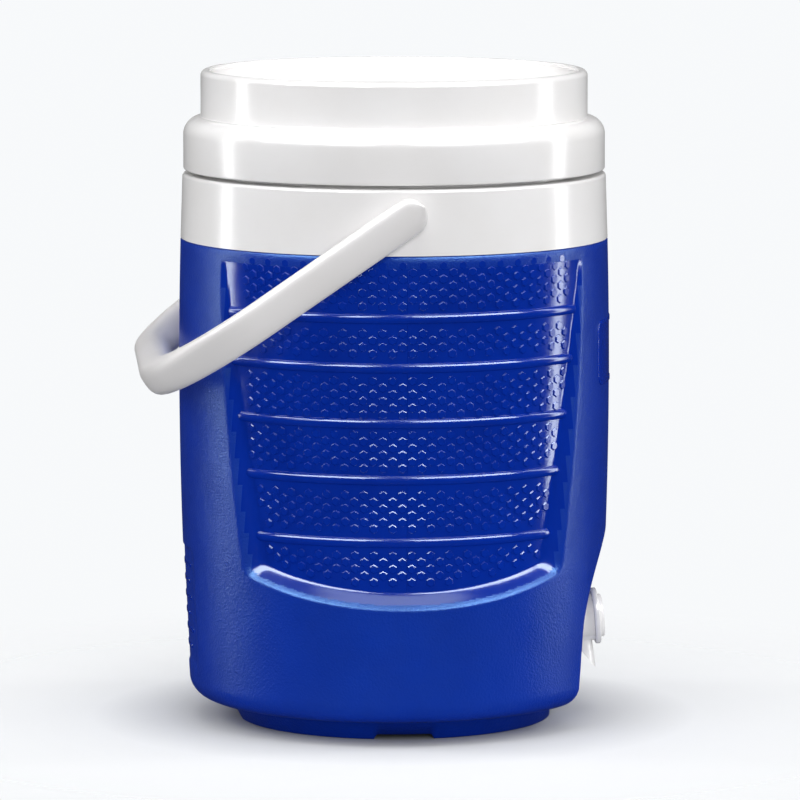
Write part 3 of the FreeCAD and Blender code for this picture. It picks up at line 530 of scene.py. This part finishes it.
# %% Close the skin with its inner wall
INNER, INNER_FLAT, INNER_BASE = 98.5, 83.0, BASE + 3.5
WALL_PITCH, WALL_ROWS, WALL_COLUMNS = 6, 44, 100
inner = [(INNER + 9, STEP_TOP)]
inner += [(INNER, STEP_TOP - WALL_PITCH * row) for row in range(1, WALL_ROWS + 1)]
inner += [(INNER - 6, INNER_BASE), (0.0, INNER_BASE)]
wall = spun(inner, WALL_COLUMNS)
for vert in wall.verts:
    if vert.co.y < -INNER_FLAT and vert.co.z < POCKET_TOP + 21:
        vert.co.y = -INNER_FLAT
wall_mesh = bpy.data.meshes.new("inner wall")
wall.to_mesh(wall_mesh)
wall.free()
bm.from_mesh(wall_mesh)
bpy.data.meshes.remove(wall_mesh)
rims = [edge for edge in bm.edges if edge.is_boundary]
bmesh.ops.bridge_loops(bm, edges=rims)
shell_skin = finish_piece(bm, "shell_skin", "jug", grained_blue, sharp=75)
shell_skin.data.materials.append(smooth_blue)
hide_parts("outer_shell")

# %% [markdown]
# The sunk panels are smoother than the barrel, so their faces take the second material.

# %% Paint the smooth areas
SMOOTH_FROM = 0.3                    # share of the panel's depth at which the grain stops
OUTSIDE = 105.0                      # the inner wall lies nearer the axis than this
for polygon in shell_skin.data.polygons:
    x, y, z = polygon.center / MM
    angle = math.degrees(math.atan2(abs(y), abs(x)))
    sunk = PANEL_LOW < z < PANEL_TOP and panel_share(angle, z) > SMOOTH_FROM
    polygon.material_index = 1 if sunk and math.hypot(x, y) > OUTSIDE else 0
print("smooth faces", sum(p.material_index for p in shell_skin.data.polygons))

# %% [markdown]
# ## Ribs and pips
# Each rib is a round bar with domed ends. It is easiest made straight, as a sphere whose two halves are
# pulled apart, and then bent round the barrel: distance along the bar becomes an angle about the axis.

# %% Bend a straight thing round the jug
def wrap(bm, side, radius_at, offset):
    """Bend local x (outwards), y (along) and z (up) round the Z axis, centred on +X or -X."""
    for vert in bm.verts:
        out, along, z = vert.co
        radius = radius_at(z)
        angle = along / radius
        reach = radius + offset + out
        vert.co = (side * reach * math.cos(angle), side * reach * math.sin(angle), z)


def add_copy(target, source):
    mesh = bpy.data.meshes.new("part")
    source.to_mesh(mesh)
    source.free()
    target.from_mesh(mesh)
    bpy.data.meshes.remove(mesh)


print("bending helpers ready")

# %% [markdown]
# Five ribs cross each panel and give wet hands a hold. They could be pressed into the skin as the panels
# are, but so narrow a form would need a much finer grid, so they are bars that sit in its surface.

# %% The ten ribs
RIB_LEVELS = ((112.5, 46.5), (147.0, 50.8), (178.0, 52.6), (208.5, 53.6), (235.5, 54.2))
RIB_RADIUS, RIB_FLATTEN, RIB_SINK, RIB_CUTS = 2.8, 0.8, 0.35, 47


def rib(height, half_angle, side):
    """One bar: 5.6 mm tall, standing 1.9 mm out of the panel."""
    bm = bmesh.new()
    bmesh.ops.create_uvsphere(bm, u_segments=16, v_segments=12, radius=RIB_RADIUS)
    bmesh.ops.rotate(bm, verts=bm.verts, cent=(0, 0, 0),
                     matrix=Matrix.Rotation(math.pi / 2, 3, "X"))
    middle = [edge for edge in bm.edges if all(abs(v.co.y) < 1e-4 for v in edge.verts)]
    half = math.radians(half_angle) * panel_face(height) - RIB_RADIUS
    bmesh.ops.split_edges(bm, edges=middle)
    for vert in bm.verts:
        ahead = sum(f.calc_center_median().y for f in vert.link_faces) > 0
        vert.co.y += half if ahead else -half
    gaps = [edge for edge in bm.edges if edge.is_boundary]
    bridged = bmesh.ops.bridge_loops(bm, edges=gaps)["edges"]
    bmesh.ops.subdivide_edges(bm, edges=bridged, cuts=RIB_CUTS)
    bmesh.ops.scale(bm, vec=(RIB_FLATTEN, 1, 1), verts=bm.verts)
    bmesh.ops.translate(bm, vec=(0, 0, height), verts=bm.verts)
    wrap(bm, side, lambda z: panel_face(height), -RIB_SINK)
    return bm


ribs = bmesh.new()
for height, half_angle in RIB_LEVELS:
    for side in (1, -1):
        add_copy(ribs, rib(height, half_angle, side))
finish_piece(ribs, "grip_ribs", "jug", smooth_blue)

# %% [markdown]
# The panels are covered in low six-sided pips with a corner at the top, in columns 5.55 mm apart, with
# every other column shifted by half of the 7.4 mm pitch. Each has flat chamfers, which is what catches
# the light as short slanted glints. A bump map could draw them, but real chamfers glint from any side.
# One pip is copied wherever it falls inside the panel, clear of the ribs.

# %% Pips on both panels
COLUMN_PITCH, ROW_PITCH, PIP_RADIUS, PIP_HEIGHT = 5.55, 7.4, 2.7, 0.7
PIP_ROOT, PIP_CHAMFER = 0.6, 0.5             # how far a pip goes into the panel, and its chamfer
PIP_COLUMNS, PIP_ROWS, FIRST_ROW = 18, 26, 90.5
RIB_CLEAR, SIDE_CLEAR, LEDGE_CLEAR, TOP_CLEAR = 4.9, 2.8, 4.0, 5
LEAN_LOW, LEAN_HIGH = 100.0, 240.0           # heights between which the panel's lean is measured


def pip():
    bm = bmesh.new()
    bmesh.ops.create_cone(bm, cap_ends=True, segments=6, radius1=PIP_RADIUS, radius2=PIP_RADIUS,
                          depth=PIP_HEIGHT + PIP_ROOT,
                          matrix=Matrix.Translation((0, 0, (PIP_HEIGHT - PIP_ROOT) / 2)))
    top = [e for e in bm.edges if all(v.co.z > PIP_HEIGHT - 0.01 for v in e.verts)]
    bmesh.ops.bevel(bm, geom=top, offset=PIP_CHAMFER, offset_type="OFFSET", affect="EDGES",
                    segments=1, profile=0.5, material=-1)
    first = max((v for v in bm.verts if v.co.z < 0), key=lambda v: v.co.x).co
    bmesh.ops.rotate(bm, verts=bm.verts, cent=(0, 0, 0),
                     matrix=Matrix.Rotation(-math.atan2(first.y, first.x), 3, "Z"))
    mesh = bpy.data.meshes.new("pip")
    bm.to_mesh(mesh)
    bm.free()
    return mesh


def pip_spots():
    """(angle in degrees, height) of each pip on one panel."""
    spots = []
    for column in range(-PIP_COLUMNS, PIP_COLUMNS + 1):
        angle = math.degrees((column + 0.5) * COLUMN_PITCH / BODY)
        for row in range(PIP_ROWS):
            z = FIRST_ROW + row * ROW_PITCH + (ROW_PITCH / 2 if column % 2 else 0)
            clear = all(abs(z - height) > RIB_CLEAR for height, _ in RIB_LEVELS)
            inner_side = panel_side(z) - math.degrees((side_width(z) + SIDE_CLEAR) / BODY)
            lowest = panel_foot(abs(angle)) + PANEL_LEDGE + LEDGE_CLEAR
            if clear and abs(angle) < inner_side and lowest < z < JOINT - TOP_CLEAR:
                spots.append((angle, z))
    return spots


shape = pip()
pips = bmesh.new()
spots = pip_spots()
lean = math.atan2(panel_face(LEAN_HIGH) - panel_face(LEAN_LOW), LEAN_HIGH - LEAN_LOW)
upright = Matrix.Rotation(math.pi / 2 + lean, 4, "Y")
for side in (1, -1):
    for angle, z in spots:
        turn = Matrix.Rotation(math.radians(angle) + (0 if side > 0 else math.pi), 4, "Z")
        stand = Matrix.Translation((panel_face(z), 0, z)) @ upright
        start = len(pips.verts)
        pips.from_mesh(shape)
        pips.verts.ensure_lookup_table()
        bmesh.ops.transform(pips, matrix=turn @ stand, verts=pips.verts[start:])
bpy.data.meshes.remove(shape)
print(len(spots), "pips on a panel")
finish_piece(pips, "grip_pips", "jug", smooth_blue, sharp=15)

# %% [markdown]
# A blow mould's two halves meet in a plane, which leaves a fine raised line down each side, seen on the
# panels. It follows the panel's face between the ledge and the collar.

# %% Parting lines
LINE_HALF, LINE_CREST, LINE_ROOT, LINE_DEPTH = 0.55, 0.22, 0.3, 0.6


def parting_line(side):
    bm = bmesh.new()
    bmesh.ops.create_grid(bm, x_segments=2, y_segments=60, size=0.5)
    low, high = PANEL_LOW + PANEL_LEDGE + 1, PANEL_TOP
    for vert in bm.verts:
        z = low + (high - low) * (vert.co.y + 0.5)
        crest = LINE_CREST if abs(vert.co.x) < 0.1 else -LINE_ROOT
        vert.co = (side * (panel_face(z) + crest), side * vert.co.x * 2 * LINE_HALF, z)
    extruded = bmesh.ops.extrude_face_region(bm, geom=bm.faces[:])["geom"]
    new = [item for item in extruded if isinstance(item, bmesh.types.BMVert)]
    bmesh.ops.translate(bm, vec=(-side * LINE_DEPTH, 0, 0), verts=new)
    return bm


lines = bmesh.new()
for side in (1, -1):
    add_copy(lines, parting_line(side))
finish_piece(lines, "parting_lines", "jug", smooth_blue)

# %% [markdown]
# ## Plates
# A blank raised plate with a rim sits high on the front, and the sunk plate at the back carries a few
# plain raised bars. Both are flat rounded rectangles first, bent round the barrel afterwards, which
# keeps their corners true.

# %% Rounded plates
BEND_PITCH = 4.0                     # a plate is cut into strips this wide so that it can bend
GROOVE_WIDTH, GROOVE_DEPTH, PLATE_SOFT = 0.4, 0.35, 0.25


def plate(width, height, corner, thick, rim=0.0):
    """A rounded rectangle in local y (along) and z (up), thick along x, with a softened face."""
    bm = bmesh.new()
    bmesh.ops.create_grid(bm, x_segments=1, y_segments=1, size=0.5)
    bmesh.ops.scale(bm, vec=(width, height, 1), verts=bm.verts)
    bmesh.ops.bevel(bm, geom=bm.verts[:], offset=corner, offset_type="OFFSET", affect="VERTICES",
                    segments=6, profile=0.5, material=-1)
    top = bmesh.ops.extrude_face_region(bm, geom=bm.faces[:])["geom"]
    verts = [item for item in top if isinstance(item, bmesh.types.BMVert)]
    bmesh.ops.translate(bm, vec=(0, 0, thick), verts=verts)

    def at_top(item):
        return all(v.co.z > thick - SAME_PLACE for v in item.verts)

    face = [f for f in bm.faces if at_top(f)]
    if rim:
        bmesh.ops.inset_region(bm, faces=face, thickness=rim, depth=0)
        half_x, half_y = width / 2 - rim * 0.9, height / 2 - rim * 0.9
        face = [f for f in bm.faces if at_top(f)
                and all(abs(v.co.x) < half_x and abs(v.co.y) < half_y for v in f.verts)]
        bmesh.ops.inset_region(bm, faces=face, thickness=GROOVE_WIDTH, depth=-GROOVE_DEPTH)
    edges = [e for e in bm.edges if e.calc_face_angle(0) > 0.9 and at_top(e)]
    bmesh.ops.bevel(bm, geom=edges, offset=PLATE_SOFT, offset_type="OFFSET", affect="EDGES",
                    segments=2, profile=0.5, material=-1)
    for step in range(1, int(width // BEND_PITCH)):
        cut = -width / 2 + step * BEND_PITCH
        bmesh.ops.bisect_plane(bm, geom=bm.verts[:] + bm.edges[:] + bm.faces[:],
                               plane_co=(cut, 0, 0), plane_no=(1, 0, 0))
    bmesh.ops.triangulate(bm, faces=bm.faces[:])
    turn = Matrix(((0, 0, 1), (1, 0, 0), (0, 1, 0)))
    bmesh.ops.rotate(bm, verts=bm.verts, cent=(0, 0, 0), matrix=turn)
    return bm


def on_barrel(bm, centre_z, facing, sink):
    """Bend a plate round the barrel: facing is -90 for the front and 90 for the back, in degrees."""
    bmesh.ops.translate(bm, vec=(0, 0, centre_z), verts=bm.verts)
    wrap(bm, 1, barrel, sink)
    bmesh.ops.rotate(bm, verts=bm.verts, cent=(0, 0, 0),
                     matrix=Matrix.Rotation(math.radians(facing), 3, "Z"))
    return bm


BAR_LENGTHS, BAR_TOP, BAR_PITCH = (48.0, 40.0, 44.0, 30.0, 46.0, 36.0), 88.0, 9.2
front = on_barrel(plate(width=100.0, height=36.0, corner=7.0, thick=0.9, rim=2.2),
                  centre_z=208.0, facing=-90, sink=-0.45)
finish_piece(front, "front_plate", "jug", smooth_blue)
bars = bmesh.new()
for row, length in enumerate(BAR_LENGTHS):
    bar = plate(width=length, height=2.2, corner=0.8, thick=1.2)
    add_copy(bars, on_barrel(bar, centre_z=BAR_TOP - BAR_PITCH * row, facing=90, sink=-1.6))
finish_piece(bars, "back_plate_bars", "jug", smooth_blue)

# %% [markdown]
# ## Collar and lid
# The collar's outside is turned, but its neck has thread lugs, which the CAD model already holds. A copy
# of that node is merged into one mesh and shaded smooth across its round faces. The same is done for
# other pieces whose CAD shape is already right.

# %% Smooth copies of CAD nodes
COPY_SHARP = 28.0                    # edges of a copied node that turn more than this stay sharp


def smooth_copy(node, name, body, material):
    bm = bmesh.new()
    bm.from_mesh(frame["nodes"][node].data)
    bmesh.ops.scale(bm, vec=(1 / MM, 1 / MM, 1 / MM), verts=bm.verts)
    piece = finish_piece(bm, name, body, material, sharp=COPY_SHARP, outward=False)
    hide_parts(node)
    return piece


smooth_copy("neck_collar", "collar_and_neck", "jug", gloss_white)
smooth_copy("lid_underside", "lid_inner_half", "lid", liner_white)
smooth_copy("inner_liner", "tank_liner", "jug", liner_white)
smooth_copy("lid_gasket", "lid_seal", "gasket", silicone)

# %% [markdown]
# The lid's cap is turned from one outline: a skirt, a full round shoulder, the crown, a rounded crest
# and the dish that sinks into the top. The inside of the outline follows a wall's thickness further in.
# Screwing a curve would make the same form, but a spin of one outline needs no modifier.

# %% The lid's cap
SHOULDER, CREST, DISH, LID_WALL = 9.7, 3.2, 9.4, 2.5
CROWN = SKIRT - SHOULDER
SKIRT_TOP = lid_low.z + 19.5
CREST_RADIUS = CROWN - CREST
DISH_RADIUS = CREST_RADIUS - DISH - 0.6
HEM, FILLET, LIP_ROLL = 1.2, 0.9, 1.4        # small roundings: skirt's hem, crown's foot, dish's lip
CAP_COLUMNS = 320


def cap_outline():
    outside = arc((SKIRT - HEM, lid_low.z + HEM), HEM, -90, 0, 4)
    outside += arc((CROWN, SKIRT_TOP), SHOULDER, 0, 90, 14)
    outside += arc((CROWN + FILLET, SKIRT_TOP + SHOULDER + FILLET), FILLET, -90, -180, 3)[1:]
    outside += arc((CREST_RADIUS, LID_TOP - CREST), CREST, 0, 90, 8)
    outside += arc((CREST_RADIUS - 0.6, LID_TOP - LIP_ROLL), LIP_ROLL, 90, 170, 4)
    dish = arc((DISH_RADIUS, LID_TOP), DISH, -14, -90, 12)
    floor = [(DISH_RADIUS * share, LID_TOP - DISH) for share in (0.66, 0.33, 0.0)]
    under = LID_TOP - DISH - LID_WALL
    inside = [(0.0, under), (DISH_RADIUS, under)]
    inside += arc((DISH_RADIUS, LID_TOP), DISH + LID_WALL, -90, -40, 6)[1:]
    inside += [(CROWN - LID_WALL, SKIRT_TOP + 30.0),
               (CROWN - LID_WALL, SKIRT_TOP + SHOULDER - LID_WALL)]
    inside += arc((CROWN, SKIRT_TOP), SHOULDER - LID_WALL, 90, 0, 8)
    inside += [(SKIRT - LID_WALL, lid_low.z)]
    return outside + dish + floor + inside


cap = spun(cap_outline(), CAP_COLUMNS, closed=True)
lid_cap = finish_piece(cap, "lid_cap_moulding", "lid", gloss_white)
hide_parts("lid_cap")

# %% [markdown]
# ## The bail
# The bail is a strap that thickens into a grip. It is made flat, with its pivots on the X axis, and then
# turned down to where it rests. Its sizes come from the CAD node's box and from the hinge.

# %% Bail sizes from the frame
bail_high = corners("bail_handle")[1]
hinge = [joint for joint in frame["joints"] if joint["name"] == "bail_swing"][0]
PIVOT = Vector(hinge["pos_m"]) / MM
ARM_OUT, ARM_THICK = bail_high.x, 8.2
ARM_IN = ARM_OUT - ARM_THICK
STRAP, GRIP, EDGE = 20.5, 19.0, 3.4
REST = math.radians(34.5)
OUT_CORNER, IN_CORNER = 74.0, 62.0
END = (bail_high.y - EDGE - (STRAP / 2 - EDGE) * math.sin(REST)) / math.cos(REST) + EDGE
print("bail end is", round(END, 1), "mm from its pivots")

# %% [markdown]
# Stations are places along the U where the section is set: round each pivot, down the arm, round the
# corner and along the grip. Only one half is worked out, and the other is its mirror image.

# %% Stations along the U
PIVOT_STATIONS, CORNER_STATIONS = 10, 24


def bail_stations():
    """(inner point, outer point, strap width) from the right pivot's round end to the left one's."""
    half = []
    reach = END - GRIP
    for step in range(PIVOT_STATIONS):
        turn = math.radians(90 - 9.0 * step + 2.0)
        back = STRAP / 2 * math.sin(turn)
        width = STRAP * max(math.cos(turn), 0.1)
        half.append((Vector((ARM_IN, -back)), Vector((ARM_OUT, -back)), width))
    for share in (0.25, 0.5, 0.75):
        half.append((Vector((ARM_IN, (reach - IN_CORNER) * share)),
                     Vector((ARM_OUT, (END - OUT_CORNER) * share)), STRAP))
    for step in range(CORNER_STATIONS + 1):
        turn = math.radians(90.0 * step / CORNER_STATIONS)
        towards = Vector((math.cos(turn), math.sin(turn)))
        inner = Vector((ARM_IN - IN_CORNER, reach - IN_CORNER)) + towards * IN_CORNER
        outer = Vector((ARM_OUT - OUT_CORNER, END - OUT_CORNER)) + towards * OUT_CORNER
        half.append((inner, outer, STRAP))
    for share in (0.3, 0.65):
        half.append((Vector(((ARM_IN - IN_CORNER) * (1 - share), reach)),
                     Vector(((ARM_OUT - OUT_CORNER) * (1 - share), END)), STRAP))
    middle = (Vector((0, reach)), Vector((0, END)), STRAP)
    other = [(Vector((-i.x, i.y)), Vector((-o.x, o.y)), w) for i, o, w in reversed(half)]
    return half + [middle] + other


stations = bail_stations()
print(len(stations), "stations along the bail")

# %% [markdown]
# The section is a fat oval with no corners, carried along the U by extruding one ring of edges after
# another and placing each new ring. A curve with a bevel object would keep one section all the way, and
# this one has to narrow almost to nothing round the pivots.

# %% Carry the section along
OVAL_POINTS, OVAL_POWER = 32, 0.72


def section(width, thick):
    """A fat oval's points about its middle: flatter than an ellipse, with no corners."""
    points = []
    for step in range(OVAL_POINTS):
        turn = 2 * math.pi * step / OVAL_POINTS
        out, up = math.cos(turn), math.sin(turn)
        points.append((math.copysign(abs(out) ** OVAL_POWER, out) * thick / 2,
                       math.copysign(abs(up) ** OVAL_POWER, up) * width / 2))
    return points


bail_mesh = bmesh.new()
ring = [bail_mesh.verts.new((0, 0, 0)) for _ in range(OVAL_POINTS)]
edges = [bail_mesh.edges.new(pair) for pair in zip(ring, ring[1:] + ring[:1])]


def place_ring(verts, station):
    inner, outer, width = station
    across = outer - inner
    middle = (inner + outer) / 2
    direction = across.normalized()
    for vert, (out, up) in zip(verts, section(width, across.length)):
        spot = middle + direction * out
        vert.co = (spot.x, spot.y, up)


place_ring(ring, stations[0])
bail_mesh.faces.new(ring)
for station in stations[1:]:
    grown = bmesh.ops.extrude_edge_only(bail_mesh, edges=edges)["geom"]
    new = [item for item in grown if isinstance(item, bmesh.types.BMVert)]
    links = {v: w for v in ring for w in new if bail_mesh.edges.get((v, w))}
    ring = [links[v] for v in ring]
    edges = [bail_mesh.edges.get(pair) for pair in zip(ring, ring[1:] + ring[:1])]
    place_ring(ring, station)
bail_mesh.faces.new(ring)
bmesh.ops.rotate(bail_mesh, verts=bail_mesh.verts, cent=(0, 0, 0),
                 matrix=Matrix.Rotation(-REST, 3, "X"))
bmesh.ops.translate(bail_mesh, vec=PIVOT, verts=bail_mesh.verts)
bail = finish_piece(bail_mesh, "bail_strap", "bail", satin_white)
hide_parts("bail_handle")

# %% [markdown]
# ## The spigot
# The spigot leans up a little out of its recess. Its body, the ring round the button and the button are
# round everywhere that shows, so smooth copies of the CAD nodes serve, as they did for the collar. The
# spring behind the button squashes along the spigot's axis, towards the guide that it rests on.

# %% The spigot's pieces
smooth_copy("spigot_body", "spigot_moulding", "jug", gloss_white)
smooth_copy("button_surround", "button_ring", "jug", gloss_white)
smooth_copy("push_button", "button_cap", "button", gloss_white)
spring = smooth_copy("button_spring", "coil_spring", "jug", steel)
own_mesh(spring)

# %% [markdown]
# The pieces that stay as the CAD model made them only need their finish.

# %% Finishes for the CAD nodes that stay
STAYING = {
    "foam_insulation": foam, "lid_foam": foam, "base_plug": grained_blue,
    "bail_pivot_left": satin_white, "bail_pivot_right": satin_white, "spigot_gasket": silicone,
    "spigot_washer": silicone, "spigot_nut": gloss_white,
    "valve_stem": gloss_white, "valve_seal": silicone, "seal_clip": gloss_white,
    "stem_guide": gloss_white, "stem_ring": silicone,
}
for node, material in STAYING.items():
    mesh = frame["nodes"][node].data
    mesh.materials.clear()
    mesh.materials.append(material)
print(len(STAYING), "nodes finished")

# %% [markdown]
# ## The studio
# The dispenser stands on a pale floor that fades into the backdrop's own colour a short way out, so that
# only its soft shadow is left. A curved paper sweep would do it too, but its far end would need lighting
# of its own. The floor glows only from a little way out, and round the foot it doesn't glow: a painted
# shadow that adds to the real one the lamps cast and keeps it dark and close to the foot.

# %% The floor
FLOOR_SIZE = 2.0
FADE_START, FADE_END = 0.13, 0.40            # metres from the axis over which the floor vanishes
PAINTED_SHADOW_FADE_START, PAINTED_SHADOW_FADE_END = 0.085, 0.17           # and over which the painted shadow round the foot fades into the glow
PALE, PALE_SHADE = (0.50, 0.505, 0.51, 1), (0.48, 0.485, 0.49, 1)
# Black emission near the foot paints a shadow there; GLOW is the floor's even glow further out.
GLOW_IN_PAINTED_SHADOW, GLOW = (0.0, 0.0, 0.0, 1), (0.95, 0.965, 0.98, 1)


def studio_floor():
    bm = bmesh.new()
    bmesh.ops.create_grid(bm, x_segments=1, y_segments=1, size=FLOOR_SIZE)
    mesh = bpy.data.meshes.new("studio floor")
    bm.to_mesh(mesh)
    bm.free()
    finish = Finish("pale floor", Roughness=1.0, Emission_Strength=0.37)
    finish.feed("Base Color", finish.blend(finish.noise(400.0), PALE, PALE_SHADE))
    ground = finish.node("ShaderNodeVectorMath", {"operation": "LENGTH"}, finish.place(),
                         output="Value")
    finish.feed("Alpha", 1 - ground.between(FADE_START, FADE_END))
    # Emission is black near the foot and full further out, which paints a shadow round the foot.
    finish.feed("Emission Color", finish.blend(ground.between(PAINTED_SHADOW_FADE_START, PAINTED_SHADOW_FADE_END), GLOW_IN_PAINTED_SHADOW, GLOW))
    mesh.materials.append(finish.material)
    floor = bpy.data.objects.new("studio_floor", mesh)
    bpy.context.scene.collection.objects.link(floor)
    floor.visible_glossy = False


studio_floor()
print("floor made")

# %% [markdown]
# The world is three plain backgrounds: one that the camera sees, a dim one that reflections see, so that
# glossy plastic stays deep in colour, and a middle one that fills the shadows. One image of a studio
# could serve for all three, but then they couldn't be set apart.

# %% The world
world = bpy.data.worlds.new("studio")
bpy.context.scene.world = world
world.use_nodes = True
sky = world.node_tree
fill = sky.nodes["Background"]
fill.inputs["Color"].default_value = (0.97, 0.98, 1.0, 1.0)
fill.inputs["Strength"].default_value = 0.32
mirrored = sky.nodes.new("ShaderNodeBackground")
mirrored.inputs["Strength"].default_value = 0.03
backdrop = sky.nodes.new("ShaderNodeBackground")
backdrop.inputs["Color"].default_value = (0.935, 0.95, 0.965, 1.0)
backdrop.inputs["Strength"].default_value = 1.0
rays = sky.nodes.new("ShaderNodeLightPath")
unseen = sky.nodes.new("ShaderNodeMixShader")
chooser = sky.nodes.new("ShaderNodeMixShader")
sky.links.new(rays.outputs["Is Glossy Ray"], unseen.inputs["Fac"])
sky.links.new(fill.outputs["Background"], unseen.inputs[1])
sky.links.new(mirrored.outputs["Background"], unseen.inputs[2])
sky.links.new(rays.outputs["Is Camera Ray"], chooser.inputs["Fac"])
sky.links.new(unseen.outputs["Shader"], chooser.inputs[1])
sky.links.new(backdrop.outputs["Background"], chooser.inputs[2])
sky.links.new(chooser.outputs["Shader"], sky.nodes["World Output"].inputs["Surface"])
bpy.context.scene.view_settings.view_transform = "Standard"
print("world made")

# %% [markdown]
# Two tall soft boxes on the sides make the long upright highlights, one overhead lights the ledges, and
# two that only reflections see make the glints on the pips. A broad one in front gives most light, and
# reflections don't see it. The camera stands far back with a long lens, a little above the middle,
# looking almost squarely at the side.

# %% Lights and camera
AZIMUTH, ELEVATION, DISTANCE = math.radians(266.3), math.radians(6.9), 3.58
LIT = Vector((0, 0, 0.18))           # what the lamps point at
TARGET = Vector((-0.0002, -0.0033, 0.1773))
SIDE_TURN, GLINT_TURN = 98.0, 98.0 * 0.46    # degrees round from the camera


def direction(azimuth, elevation):
    """From the object towards a place round it, as the camera's azimuth counts."""
    return Vector((math.sin(azimuth) * math.cos(elevation), -math.cos(azimuth) * math.cos(elevation),
                   math.sin(elevation)))


def look_at(thing, place, target):
    turn = (target - place).to_track_quat("-Z", "Y").to_matrix().to_4x4()
    thing.matrix_world = Matrix.Translation(place) @ turn


def soft_box(name, turn, elevation, distance, width, height, power):
    """A rectangular lamp, turned this many degrees round from the camera and this many up."""
    lamp = bpy.data.lights.new(name, "AREA")
    lamp.shape = "RECTANGLE"
    lamp.size, lamp.size_y = width, height
    lamp.energy = power
    box = bpy.data.objects.new(name, lamp)
    bpy.context.scene.collection.objects.link(box)
    towards = direction(AZIMUTH + math.radians(turn), math.radians(elevation))
    look_at(box, LIT + towards * distance, LIT)
    return box


for name, side in (("left box", -1), ("right box", 1)):
    soft_box(name, side * SIDE_TURN, 14, distance=1.2, width=0.16, height=1.3, power=7.0)
    glint = soft_box(name + " glint", side * GLINT_TURN, 41, distance=1.3, width=1.3, height=0.6,
                     power=50.0)
    glint.visible_diffuse = False
soft_box("top box", 0, 80, distance=1.3, width=0.9, height=0.8, power=10.0)
fill_box = soft_box("front fill", 6, 16, distance=3.0, width=1.2, height=1.6, power=42.0)
fill_box.visible_glossy = False
camera_data = bpy.data.cameras.new("camera")
camera_data.lens = 288.0
camera_data.sensor_width = 36.0
camera_data.clip_end = 50.0
camera = bpy.data.objects.new("camera", camera_data)
bpy.context.scene.collection.objects.link(camera)
look_at(camera, TARGET + direction(AZIMUTH, ELEVATION) * DISTANCE, TARGET)
bpy.context.scene.camera = camera
print("camera at", [round(v, 3) for v in camera.location])
